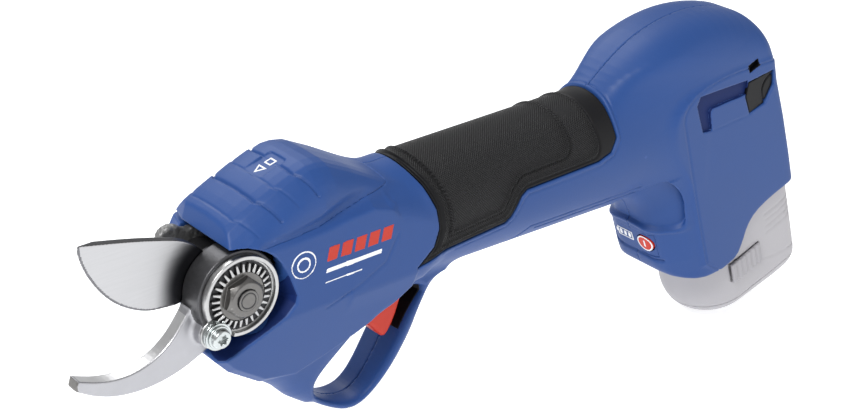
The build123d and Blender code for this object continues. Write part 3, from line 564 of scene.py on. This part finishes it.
# The blade steel darkens towards its root: painted shade under the hook's barrel, mixed with real black
# burnish.
STEEL = shade_and_burnish(surface("ground_steel", (0.46, 0.46, 0.47), 0.36, 1, 60, 0.15, 0.12, 0.1, (1, 30, 30)),
               (0.035, 0.035, 0.04), 0.019, 0.0275, (PIVOT.x, -6.4 * MM, PIVOT.z))
HOOK_STEEL = surface("forged_steel", (0.40, 0.40, 0.42), 0.40, 1, 240, 0.15, 0.12, 0.08)
EDGE_STEEL = surface("edge_steel", (0.16, 0.16, 0.17), 0.35, 1, 500, 0.1, 0.1)
OXIDE = surface("dark_oxide", (0.045, 0.045, 0.048), 0.42, 0.8, 700, 0.25, 0.3)
BARREL = surface("dark_barrel", (0.09, 0.09, 0.095), 0.40, 0.9, 700, 0.2, 0.25)
NUT_STEEL = surface("dark_nut", (0.16, 0.155, 0.15), 0.36, 0.95, 800, 0.15, 0.25, wear=0.6)
ZINC = surface("zinc_plated", (0.50, 0.53, 0.53), 0.24, 1, 600, 0.1, 0.1)
BRIGHT = surface("bright_steel", (0.46, 0.46, 0.46), 0.32, 1, 700, 0.3, 0.2)
GROUND_EDGE = surface("ground_edge", (0.62, 0.62, 0.63), 0.36, 1, 400, 0.1, 0.08)
CAST = surface("cast_metal", (0.22, 0.22, 0.22), 0.5, 0.8, 600, 0.9, 0.5, depth=0.0006)
MOTOR = surface("motor_metal", (0.35, 0.36, 0.37), 0.38, 0.9, 500, 0.1, 0.1)
BRONZE = surface("sintered_bronze", (0.35, 0.20, 0.09), 0.45, 0.9, 900, 0.3, 0.2)
BOARD = surface("green_board", (0.01, 0.09, 0.035), 0.4, 0, 1200, 0.15, 0.2)
CLEAR = surface("smoke_lens", (0.02, 0.03, 0.05), 0.12, 0, 600, 0.05, 0.1, coat=0.5)
PALE = surface("pale_moulded", (0.40, 0.39, 0.41), 0.5, 0, 1600, 0.2, 0.05)
PALE_DARK = surface("pale_latch", (0.35, 0.34, 0.36), 0.5, 0, 1600, 0.2, 0.05)
WRAP = surface("cell_wrap", (0.05, 0.16, 0.10), 0.35, 0, 900, 0.1, 0.1)
WHITE = surface("white_print", (0.80, 0.81, 0.83), 0.45, 0, 1500, 0.1, 0.04)
RED_PRINT = surface("red_print", (0.46, 0.028, 0.012), 0.42, 0, 1500, 0.1, 0.06)
SLOT_LOOK = {
    "blue_housing": BLUE, "soft_grip": RUBBER, "black_plastic": DARK_PLASTIC, "red_plastic": RED,
    "blade_steel": STEEL, "dark_steel": OXIDE, "bright_steel": ZINC, "cast_metal": CAST, "motor_steel": MOTOR,
    "bronze": BRONZE, "circuit_board": BOARD, "lens": CLEAR, "pack_plastic": PALE, "latch_plastic": PALE_DARK,
    "cell_wrap": WRAP,
}


def dress(piece, look, body="housing", stands_for=()):
    """Finishes a piece: material, body, and the CAD nodes it stands for."""
    for material in look if isinstance(look, list) else [look]:
        piece.data.materials.append(material)
    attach(piece, body)
    if stands_for:
        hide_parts(*stands_for)
    return piece


def centres(piece):
    """Face centres of a mesh in millimetres around the pivot."""
    mesh = piece.data
    spots = np.empty(len(mesh.polygons) * 3)
    mesh.polygons.foreach_get("center", spots)
    return ((spots.reshape(-1, 3) - np.array(PIVOT)) / MM).T


def assign(piece, index):
    """Gives every face its material number."""
    piece.data.polygons.foreach_set("material_index", np.asarray(index, np.int32))


# ---- housing, cover and grip
HOUSE_LOW, HOUSE_HIGH = (-16, -27, -84), (302, 27, 54)


def outer_skin(x, y, z):
    """Housing's outside without the plane that parts its halves."""
    return details(x, y, z, casing(x, y, z))


def sharpen_seam(piece, side):
    """Draws the vertices next to the parting plane onto it, for a fine tight seam."""
    spots = np.array([v.co for v in piece.data.vertices])
    points = (spots - np.array(PIVOT)) / MM
    near = (np.abs(points[:, 1]) < 0.6 * STEP) & (np.abs(outer_skin(*points.T)) < 0.45 * STEP)
    edge = points[near]
    for _ in range(4):
        edge = settle(edge, outer_skin, 0.3 * STEP)
        edge[:, 1] = side * SEAM
    points[near] = edge
    piece.data.vertices.foreach_set("co", (points * MM + np.array(PIVOT)).ravel())
    return piece


for side, name in ((-1, "left"), (1, "right")):
    low = (HOUSE_LOW[0], HOUSE_LOW[1] if side < 0 else -2 * STEP, HOUSE_LOW[2])
    high = (HOUSE_HIGH[0], HOUSE_HIGH[1] if side > 0 else 2 * STEP, HOUSE_HIGH[2])
    half = sharpen_seam(skin(name + "_shell", shell(side), low, high, STEP), side)
    dress(half, BLUE, stands_for=("housing_" + name,))


def lining(groove, skin_gap):
    """Layer on the floor and walls of a groove, ending just under the housing's surface."""
    def field(x, y, z):
        cut = groove(x, y, z)
        layer = np.maximum(-cut - 0.12, cut - 0.6)
        return np.maximum(layer, casing(x, y, z) + skin_gap)
    return field


def strap_groove(x, y, z):
    """Angled groove in each flank of the rear head, up to the dark insert."""
    r, u = lean(x, z)
    return np.maximum(np.maximum(poly(r, u, L_GROOVE), 23.5 - np.abs(y)), -poly(r, u, INSERT) - 0.3)


def strap_slot(x, y, z):
    """Small slot above the insert."""
    r, u = lean(x, z)
    return np.maximum(poly(r, u, SLOT), 22.2 - np.abs(y))


def recess_shade_sheet(x, y, z):
    """Dark sheet of painted shade on the recess under the pivot, clear of the blade's chamber."""
    body = lining(pivot_recess, 0.7)(x, y, z)
    return np.maximum(body, 18.6 - np.hypot(x, z))


def well_boot_and_shade(x, y, z):
    """Dark strip on the guard behind the trigger: partly the black dust boot, partly painted shade of the
    trigger well.
    """
    ay = np.abs(y)
    strip = np.maximum(np.abs(poly(x, z, LOOP_SIDE) - 0.09 * ay - 0.1) - 0.45, ay - 7.4)
    return np.maximum(strip, poly(x, z, [(76, -26), (97, -24), (95, -32), (79.5, -49.5), (72, -47)]))


def lean_box(r_span, u_span, y_low, y_high):
    """Corners of the box round a span of the leaning rear head."""
    corners = [lean_place(r, u, 0) for r in r_span for u in u_span]
    return ((min(c[0] for c in corners), y_low, min(c[2] for c in corners)),
            (max(c[0] for c in corners), y_high, max(c[2] for c in corners)))


# The flank grooves get dark blue sheets of painted shade; the slots above the inserts get black plastic.
groove_low, groove_high = lean_place(-16, -2, 0), lean_place(35, 21, 0)
for side, name in ((-1, "left"), (1, "right")):
    low = (groove_low[0] - 8, 22 if side > 0 else -25.5, groove_low[2] - 3)
    high = (groove_high[0] + 3, 25.5 if side > 0 else -22, groove_high[2] + 4)
    dress(skin("strap_groove_" + name, lining(strap_groove, 0.25), low, high, 0.35), PAINTED_SHADE_BLUE)
    low = (low[0], low[1] - 0.6, low[2])
    dress(skin("strap_slot_" + name, lining(strap_slot, 0.15), low, high, 0.3), DARK_PLASTIC)
# Painted shade: a dark blue sheet on the floor and walls of the recess under the pivot.
dress(skin("recess_shade_sheet", recess_shade_sheet, (-22, -25, -30), (26, -11, 16), 0.4), PAINTED_SHADE_BLUE)
# Black strip behind the trigger: part real dust boot, part painted shade of the well.
dress(skin("boot_and_shade_strip", well_boot_and_shade, (70, -8, -52), (98, 8, -22), 0.3), DARK_PLASTIC)
dress(skin("stepped_cover", cover, (-12, -26, 13), (72, 26, 45), 0.8 * STEP), BLUE,
      stands_for=("head_cover",))
sleeve = dress(skin("grip_sleeve", grip, (66, -26, -18), (188, 26, 30), 0.8 * STEP), [RUBBER, WEAVE],
               stands_for=("grip_overmould",))
gx, _, gz = centres(sleeve)
assign(sleeve, smax(poly(gx, gz, GRIP_SIDE) + 3.0, gx - 172, 6) < 0)


# ---- cutting head
def moving_blade(x, y, z):
    """Ground blade: flat near face with a fine edge, hollow-ground from the far side."""
    edge = trail(x, z, BLADE_EDGE)
    outline = np.minimum(poly(x, z, BLADE), rod(x, z, 0, 0, 14))
    near = BLADE_FACE - y + 0.22 * np.clip(1 - edge, 0, 1)
    far = np.maximum(y + 4.7, (y + 7.75 - 0.42 * edge) * 0.92)
    body = smax(outline, np.maximum(near, far), 0.25)
    return np.maximum(body, -rod(x, z, 0, 0, BORE + 0.05))


def fixed_hook(x, y, z):
    """Forged hook with its round boss and the lug of the lock screw."""
    arm = poly(x, z, HOOK)
    tip = np.maximum(arm, (-(x + 61.5) * 0.9 - (y + 11.5) * 0.35 - 1.2) * 0.9)
    thick = np.maximum(-14.5 - y, y - HOOK_FACE)
    body = smax(tip, thick, 0.7)
    boss = smax(rod(x, z, 0, 0, 16.4), np.maximum(-19 - y, y - HOOK_FACE), 0.5)
    lug = smax(rod(x, z, *LOCK, 5.6), np.maximum(-19 - y, y + 13), 0.6)
    body = smin(smin(body, boss, 2.2), lug, 2)
    body = np.maximum(body, y - HOOK_FACE)
    return np.maximum(body, -np.minimum(rod(x, z, 0, 0, BORE), rod(x, z, *LOCK, 2.0)))


def gear_frame(x, y, z):
    """Cast frame behind the blade that carries the pinion bearing."""
    plate = np.minimum(rod(x, z, 0, 0, 15), poly(x, z, [(0, -10), (31.5, -10), (31.5, 10), (0, 10)]))
    lobe = smin(rod(x, z, -9.4, 13.0, 5.0), poly(x, z, [(-13, 9), (-7, 16), (2, 12), (-10, 0)]), 3)
    body = smax(smin(plate, lobe, 2), np.maximum(8.5 - y, y - 12.5), 1.4)
    body = body + 0.12 * np.sin(2.1 * x + 1.3 * z) * np.sin(1.9 * z - 1.7 * y)
    carrier = np.maximum(np.maximum(24 - x, x - 31.5), np.maximum(np.abs(y - 3.3) - 8.5, np.abs(z) - 10))
    body = smin(body, carrier, 1)
    body = np.maximum(body, -np.maximum(np.hypot(y - 3.3, z) - 7.1, 19 - x))
    return np.maximum(body, -rod(x, z, 0, 0, BORE + 0.02))


blade = dress(skin("ground_blade", moving_blade, (-55, -9, -16), (16, -4, 36), 0.33),
              [STEEL, OXIDE, EDGE_STEEL], "blade", ("cutting_blade",))
bx, by, bz = centres(blade)
from_edge = trail(bx, bz, BLADE_EDGE)
spine = (poly(bx, bz, BLADE) > -0.3) & (from_edge > 1.2) & (by > -8.05)
assign(blade, np.where(spine, 1, np.where((from_edge < 0.95) & (by < -7.9), 2, 0)))

hook = dress(skin("forged_hook", fixed_hook, (-64, -20, -28), (18, -8, 18), 0.4),
             [HOOK_STEEL, BARREL, GROUND_EDGE, NUT_STEEL], stands_for=("hook_blade",))
hx, hy, hz = centres(hook)
radius = np.hypot(hx, hz)
normals = np.empty(len(hook.data.polygons) * 3)
hook.data.polygons.foreach_get("normal", normals)
nx = normals[::3]
inner_face = (trail(hx, hz, HOOK_IN) < 0.5) & (radius > 19) & (hy > -14.1) & (hx > -60.2)
tip_face = (hx < -60.6) & (nx < -0.4)
assign(hook, np.where(radius < 17.2, 1, np.where(tip_face, 3, np.where(inner_face, 2, 0))))
dress(skin("cast_frame", gear_frame, (-20, 7, -17), (33, 13.5, 23), 0.5), CAST,
      stands_for=("gear_frame",))


# ---- pivot nut, disc and lock
def rim_disc(x, y, z):
    """Thin disc with a raised bright rim, open where the lock plate sits."""
    base = np.maximum(np.minimum(rod(x, z, 0, 0, 14.9), rod(x, z, *LOCK, 5.6)), np.abs(y + 19.6) - 0.55)
    rim = smax(np.abs(rod(x, z, 0, 0, 14.4)) - 0.75, np.maximum(-21.9 - y, y + 19), 0.4)
    rim = np.maximum(rim, -rod(x, z, *LOCK, 7.2))
    body = np.minimum(base, rim)
    return np.maximum(body, -np.minimum(rod(x, z, 0, 0, 4.02), rod(x, z, *LOCK, 2.02)))


def hex_nut(x, y, z):
    """Flanged hexagon nut with a chamfered face."""
    turn = np.arctan2(z, x) + 0.25
    radius = np.hypot(x, z)
    sector = (turn + math.pi / 6) % (math.pi / 3) - math.pi / 6
    flats = radius * np.cos(sector) - 6.9
    cone = (radius + (NUT_FACE - y) * 0.9 - 6.2) * 0.74
    head = smax(smax(flats, cone, 0.15), np.maximum(NUT_FACE - y, y + 20.3), 0.25)
    flange = smax(radius - 9.1, np.maximum(-21.5 - y, y + 20.25), 0.3)
    return np.maximum(np.minimum(head, flange), 4.02 - radius)


def nut_teeth(x, y, z):
    """Ring of short radial teeth round the nut's flange."""
    turn = np.arctan2(z, x)
    radius = np.hypot(x, z)
    sector = (turn * NUT_TEETH / (2 * math.pi)) % 1 - 0.5
    across = np.abs(sector) * 2 * math.pi / NUT_TEETH * radius
    tooth = smax(across - 0.62 + 0.08 * (radius - 9), np.maximum(9.15 - radius, radius - 12.2), 0.25)
    tooth = smax(tooth, np.maximum(-21.9 - y + 0.18 * (radius - 9), y + 20.25), 0.25)
    return np.maximum(tooth, -rod(x, z, *LOCK, 5.0))


def lock_plate(x, y, z):
    """Small plate whose teeth mesh with the nut's."""
    turn = np.arctan2(z - LOCK[1], x - LOCK[0])
    radius = np.hypot(x - LOCK[0], z - LOCK[1])
    edge = 5.2 + 0.55 * np.clip(np.cos(turn * 13) * 2, -1, 1) * (np.hypot(x, z) < 15.2)
    body = smax(radius - edge, np.maximum(-21.7 - y, y + 20.25), 0.25)
    body = np.maximum(body, 10.2 - np.hypot(x, z))
    return np.maximum(body, 2.02 - radius)


def lock_washer(x, y, z):
    """Flat washer under the lock screw."""
    return smax(np.abs(rod(x, z, *LOCK, 3.6)) - 1.55, np.maximum(-22.8 - y, y + 21.75), 0.3)


def lock_screw(x, y, z):
    """Round-headed screw with a six-lobed recess."""
    turn = np.arctan2(z - LOCK[1], x - LOCK[0])
    radius = np.hypot(x - LOCK[0], z - LOCK[1])
    head = smax(radius - 3.7 + 0.12 * np.clip(-23.6 - y, 0, 9) ** 2, np.maximum(-25.7 - y, y + 22.85), 0.6)
    star = np.maximum(radius - 1.75 - 0.32 * np.cos(6 * turn), y + 24.1)
    flange = smax(radius - 4.3, np.maximum(-23.5 - y, y + 22.85), 0.3)
    body = np.maximum(np.minimum(head, flange), -star)
    return np.minimum(body, np.maximum(radius - 1.95, np.maximum(-24 - y, y + 11)))


def bolt_end(x, y, z):
    """Riveted end of the pivot bolt with a turned ring."""
    radius = np.hypot(x, z)
    body = smax(radius - 3.95, np.maximum(-25.75 - y, y + 24.6), 0.4)
    return body + 0.25 * np.exp(-((radius - 2.9) / 0.28) ** 2) * (y < -25)


disc = dress(skin("rim_disc", rim_disc, (-19, -23, -19), (17, -18, 17), 0.28), [BRIGHT, OXIDE],
             stands_for=("pivot_disc",))
dx, _, dz = centres(disc)
assign(disc, (np.hypot(dx, dz) < 13.1) & (np.hypot(dx - LOCK[0], dz - LOCK[1]) > 5.7))
dress(skin("hex_nut", hex_nut, (-10, -26, -10), (10, -19.5, 10), 0.2), NUT_STEEL,
      stands_for=("pivot_nut",))
dress(skin("nut_teeth", nut_teeth, (-13, -23, -13), (13, -19.5, 13), 0.18), BRIGHT)
dress(skin("bolt_end", bolt_end, (-5, -26.5, -5), (5, -24, 5), 0.14), NUT_STEEL)
dress(skin("toothed_lock", lock_plate, (-18, -22.5, -18), (-4, -19.5, -4), 0.18), ZINC,
      stands_for=("lock_plate",))
dress(skin("flat_washer", lock_washer, (-17, -23.5, -18), (-5, -21, -5), 0.18), ZINC,
      stands_for=("lock_washer",))
dress(skin("star_screw", lock_screw, (-16, -26.5, -17), (-6, -10, -6), 0.2), ZINC,
      stands_for=("lock_screw",))


# ---- trigger
def finger_trigger(x, y, z):
    """Trigger lever with a hollowed finger face and a cut-out behind it."""
    ay = np.abs(y)
    body = smax(poly(x, z, TRIGGER), ay - 7.2, 2.2)
    finger = np.hypot(x - 50.5, z + 60.5) - 19.5 - 0.0175 * ay ** 2
    body = smax(body, -finger, 1.2)
    relief = np.maximum(poly(x, z, [(73, -26), (90, -24), (90, -44), (80, -40), (76.5, -30)]), ay - 5.0)
    body = smax(body, -relief, 1)
    return np.maximum(body, -rod(x, z, 69, -24.5, 1.56))


dress(skin("finger_trigger", finger_trigger, (58, -8, -53), (86, 8, -18), 0.35), RED,
      "finger_trigger", ("trigger",))


def case_screws(x, y, z):
    """Pan-head screws that hold the housing halves together."""
    best = 1e9
    for sx, sz, head_r in SCREW_SPOTS:
        turn = np.arctan2(z - sz, x - sx)
        radius = np.hypot(x - sx, z - sz)
        head = smax(radius - head_r + 0.03, np.maximum(y - 8.2 + 0.08 * radius ** 2, 6.05 - y), 0.4)
        star = np.maximum(radius - 0.52 * head_r - 0.2 * np.cos(6 * turn), 6.9 - y)
        shank = np.maximum(radius - 1.28, np.maximum(-7 - y, y - 7))
        best = np.minimum(best, np.minimum(np.maximum(head, -star), shank))
    return best


for number, (sx, sz, _) in enumerate(SCREW_SPOTS):
    low, high = (sx - 3, -7.5, sz - 3), (sx + 3, 8.6, sz + 3)
    dress(skin("case_screw_%d" % number, case_screws, low, high, 0.25), ZINC,
          stands_for=("housing_screws",))


# ---- rear head fittings
def chin_panel(x, y, z):
    """Control panel that follows the bowed chin."""
    r, u = lean(x, z)
    outside = details(x, y, z, casing(x, y, z))
    body = smax(outside + 0.3, panel_zone(x, y, z), 0.3)
    body = np.maximum(body, r + 38.5)
    return np.maximum(body, 4.75 - np.hypot(y - BUTTON_Y, u - BUTTON_U))


def power_button(x, y, z):
    """Round push button, slightly domed."""
    r, u = lean(x, z)
    radius = np.hypot(y - BUTTON_Y, u - BUTTON_U)
    face = casing(x, y, z) - 0.1
    head = smax(radius - 4.25, np.maximum(face, r + 37.9), 0.5)
    return np.minimum(head, np.maximum(radius - 5.1, np.maximum(-37.5 - r, r + 36.6)))


def button_ring(x, y, z):
    """Pale ring and bar let into the button's face."""
    _, u = lean(x, z)
    radius = np.hypot(y - BUTTON_Y, u - BUTTON_U)
    ring = np.abs(radius - 3.9) - 0.34
    bar = smax(np.abs(y - BUTTON_Y) - 0.42, np.abs(u - BUTTON_U) - 1.9, 0.2)
    return np.maximum(np.minimum(ring, bar), np.abs(casing(x, y, z) - 0.08) - 0.12)


def gauge_mark(x, y, z):
    """Charge gauge: an outlined cell with three bars."""
    side = (y - GAUGE_Y) * 0.9
    level = np.abs(lean(x, z)[1] - GAUGE_U)
    cell = np.abs(np.maximum(np.abs(side) - 3.9, level - 2.2)) - 0.28
    best = np.minimum(cell, np.maximum(np.abs(side - 4.6) - 0.5, level - 0.9))
    for spot in (-2.3, 0, 2.3):
        best = np.minimum(best, np.maximum(np.abs(side - spot) - 0.65, level - 1.35))
    return np.maximum(best, np.abs(casing(x, y, z) + 0.25) - 0.16)


def strap_insert(side):
    """Dark wedge let into the rear head's flank; its face slopes in towards the lower rear."""
    def field(x, y, z):
        r, u = lean(x, z)
        ay = side * y
        slope = np.clip((r - 15) * 0.055 + (9 - u) * 0.03, 0, 1.5)
        body = smax(poly(r, u, INSERT), ay - 25.05 + slope, 0.4)
        ridge = np.hypot(r - 30.5, u + 1) - 6.5
        body = body + 0.5 * np.exp(-(ridge / 0.5) ** 2) * (r > 24)
        return np.maximum(body, 23.2 - ay)
    return field


panel_foot, panel_head = lean_place(-46, -56, 0), lean_place(-30, -36, 0)
west, down, east, top = panel_foot[0] - 6, panel_foot[2] - 3, panel_head[0] + 8, panel_head[2] + 6
dress(skin("chin_panel", chin_panel, (west, -14, down), (east, 14, top), 0.4), BLUE,
      stands_for=("control_panel",))
dress(skin("push_button", power_button, (west, -14, down), (east, 0, top), 0.25), RED,
      "switch_button", ("power_button",))
dress(skin("button_ring", button_ring, (west, -14, down), (east, 0, top), 0.18), WHITE,
      "switch_button")
dress(skin("gauge_mark", gauge_mark, (west, -1, down), (east, 12, top), 0.18), WHITE,
      stands_for=("gauge_lens",))
for side, name in ((-1, "left"), (1, "right")):
    low, high = lean_box((12, 34), (-7, 12), 22.5 if side > 0 else -26, 26 if side > 0 else -22.5)
    dress(skin("wedge_" + name, strap_insert(side), low, high, 0.3), DARK_PLASTIC,
          stands_for=("strap_insert_" + name,))


# ---- battery pack
def pack_foot(x, y, z):
    """Rounded foot of the pack with moulded ribs on its flanks."""
    r, u = lean(x, z)
    ay = np.abs(y)
    plan = np.where(r < -3, np.hypot(r + 3, y) - 22, smax(r - 38.2, ay - 22, 9))
    body = smax(plan, -(u + 108.7), np.interp(r, [-20, 20], [17, 12]))
    body = np.maximum(body, u + 58)
    for level in (-66, -69.5, -73, -76.5):
        rib = u - level - 0.006 * (r - 24) ** 2
        body = body + 0.45 * np.exp(-(rib / 0.45) ** 2) * np.clip((r - 16) * 0.4, 0, 1) * (r < 38)
    belt = u + 95 - 0.010 * (r - 38) ** 2
    return body + 0.4 * np.exp(-(belt / 0.5) ** 2)


def pack_shell(x, y, z):
    """Pack foot and tower, with the cell bores and the latch windows."""
    r, u = lean(x, z)
    ay = np.abs(y)
    tower = np.maximum(poly(r, y, [(-6, -15), (-6, 15), (14, 6), (14, -6)]), np.maximum(-60 - u, u))
    bores = 1e9
    for cell in CELLS:
        tower = np.minimum(tower, np.maximum(rod(r, y, *cell, 10.6), np.maximum(-60 - u, u)))
        bores = np.minimum(bores, np.maximum(rod(r, y, *cell, 9.35), np.maximum(-101 - u, u + 33)))
    body = np.minimum(np.maximum(pack_foot(x, y, z), -100 - u), tower)
    gap = np.maximum(np.maximum(np.abs(r - LATCH_R) - 10, np.abs(u - LATCH_U) - 5.5), 19.95 - ay)
    return np.maximum(np.maximum(body, -bores), -gap)


def pack_base(x, y, z):
    """Closing base of the pack."""
    return np.maximum(pack_foot(x, y, z), lean(x, z)[1] + 100.06)


def pack_latch(side):
    """Ribbed release button on the pack's flank."""
    def field(x, y, z):
        r, u = lean(x, z)
        ay = side * y
        along = r - LATCH_R
        body = smax(np.maximum(np.abs(along) - 9.7, np.abs(u - LATCH_U) - 5.2), ay - 23.4, 0.8)
        body = body + 0.3 * np.cos(along * 2 * math.pi / 3.2) * (np.abs(along) < 8) * (ay > 22.6)
        return np.maximum(body, 21.85 - ay)
    return field


low, high = lean_box((-28, 39), (-111, 2), -23, 23)
dress(skin("pack_shell", pack_shell, low, high, 0.7), PALE, "battery", ("battery_shell",))
dress(skin("pack_base", pack_base, low, (high[0], 23, low[2] + 32), 0.6), PALE, "battery",
      ("battery_base",))
for side, name in ((-1, "left"), (1, "right")):
    low, high = lean_box((-9, 13), (-90, -76), 21 if side > 0 else -25, 25 if side > 0 else -21)
    dress(skin("pack_latch_" + name, pack_latch(side), low, high, 0.35), PALE_DARK,
          "latch_" + name, ("battery_latch_" + name,))


# ---- printed marks
def printed(name, look, outlines, low, high):
    """Thin printed shapes on the head's left flank, drawn in side view."""
    def field(x, y, z):
        shape = np.minimum.reduce([outline(x, z) for outline in outlines])
        return np.maximum(shape, np.abs(casing(x, y, z)) - 0.1)
    dress(skin(name, field, (low[0], -HALF - 0.75, low[1]), (high[0], -HALF + 0.55, high[1]), 0.2), look)


def slanted(x0, x1, z0, z1):
    """Block between two heights with leaning ends."""
    def outline(x, z):
        across = np.abs(x - (x0 + x1) / 2 - 0.25 * (z - z0)) - (x1 - x0) / 2
        return smax(across, np.abs(z - (z0 + z1) / 2) - (z1 - z0) / 2, 0.5)
    return outline


printed("ring_mark", WHITE, [lambda x, z: np.abs(rod(x, z, 24.7, 4.7, 5.1)) - 0.3,
                             lambda x, z: np.abs(rod(x, z, 24.7, 4.7, 2.6)) - 0.45], (18, -2), (31, 11))
stripes = [slanted(34.5 + 6.1 * i, 39.2 + 6.1 * i, 2.4, 8.2) for i in range(5)]
printed("red_stripes", RED_PRINT, stripes, (33, 1), (68, 10))
printed("white_stripe", WHITE, [slanted(34, 59, -2.0, 0.0)], (32, -3.4), (62, 1.4))
printed("thin_stripe", WHITE, [slanted(33.4, 50, -6.0, -5.2)], (31, -7), (53, -4))


def status_marks(x, y, z):
    """Two small outlined marks in the cover's recess: a triangle and a square."""
    triangle = np.abs(poly(x, y, [(20.8, 0), (24.9, 2.4), (24.9, -2.4)]) + 0.3) - 0.3
    square = np.abs(np.maximum(np.abs(x - 28.2) - 1.3, np.abs(y) - 1.6)) - 0.3
    return np.maximum(np.minimum(triangle, square), np.abs(window(x, z)) - 0.16)


dress(skin("status_marks", status_marks, (19, -3.5, 31.5), (31, 3.5, 38), 0.15), WHITE,
      stands_for=("status_lens",))


# ---- CAD nodes that stay
for item in frame["nodes"].values():
    for holder in item.material_slots:
        base = holder.material.name.split(".")[0] if holder.material else ""
        holder.material = SLOT_LOOK.get(base, MOTOR)


# ---- camera, floor and light
AZIMUTH, ELEVATION = math.radians(-39.2), math.radians(26.4)
camera_right = Vector((math.cos(AZIMUTH), math.sin(AZIMUTH), 0))
camera_back = Vector((math.sin(AZIMUTH) * math.cos(ELEVATION), -math.cos(AZIMUTH) * math.cos(ELEVATION),
                      math.sin(ELEVATION)))
camera_up = camera_back.cross(camera_right)
camera_data = bpy.data.cameras.new("camera")
camera_data.lens = 68.65
camera = bpy.data.objects.new("camera", camera_data)
turn = Matrix((camera_right, camera_up, camera_back)).transposed().to_4x4()
camera.matrix_world = Matrix.Translation(PIVOT + Vector((-262.3, -445.9, 280.9)) * MM) @ turn
bpy.context.scene.collection.objects.link(camera)
bpy.context.scene.camera = camera

floor_mesh = bpy.data.meshes.new("floor")
floor_mesh.from_pydata([(-4, -4, 0), (4, -4, 0), (4, 4, 0), (-4, 4, 0)], [], [(0, 1, 2, 3)])
floor = bpy.data.objects.new("floor", floor_mesh)
bpy.context.scene.collection.objects.link(floor)
floor.location.z = cad_low.z - 0.0005
floor_look = surface("pale_floor", (0.86, 0.87, 0.88), 0.8, grain=300, bump=0.02, vary=0.01)
floor_sockets = floor_look.node_tree.nodes["Principled BSDF"].inputs
floor_sockets["Emission Color"].default_value = (1, 1, 1, 1)
floor_sockets["Emission Strength"].default_value = 0.55
floor.data.materials.append(floor_look)
floor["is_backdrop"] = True

world = bpy.data.worlds.new("studio")
world.use_nodes = True
sky = world.node_tree.nodes["Background"].inputs
sky["Color"].default_value = (1, 1, 1, 1)
sky["Strength"].default_value = 0.5
bpy.context.scene.world = world


def area_light(name, place, size, power):
    """Square soft light that looks at the middle of the object."""
    data = bpy.data.lights.new(name, "AREA")
    data.size = size
    data.energy = power
    light = bpy.data.objects.new(name, data)
    light.location = Vector(place)
    light.rotation_mode = "QUATERNION"
    light.rotation_quaternion = (Vector(place) - Vector((0, 0, 0.1))).to_track_quat("Z", "Y")
    bpy.context.scene.collection.objects.link(light)


area_light("key", (-0.9, -0.35, 1.2), 0.5, 17)
area_light("fill", (0.7, -1.1, 0.5), 0.9, 3)
area_light("back", (0.2, 1.0, 1.1), 0.8, 8)

low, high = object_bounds()
{"cad": [list(cad_low), list(cad_high)], "visual": [list(low), list(high)]}
bpy.context.scene.view_settings.view_transform = "Standard"
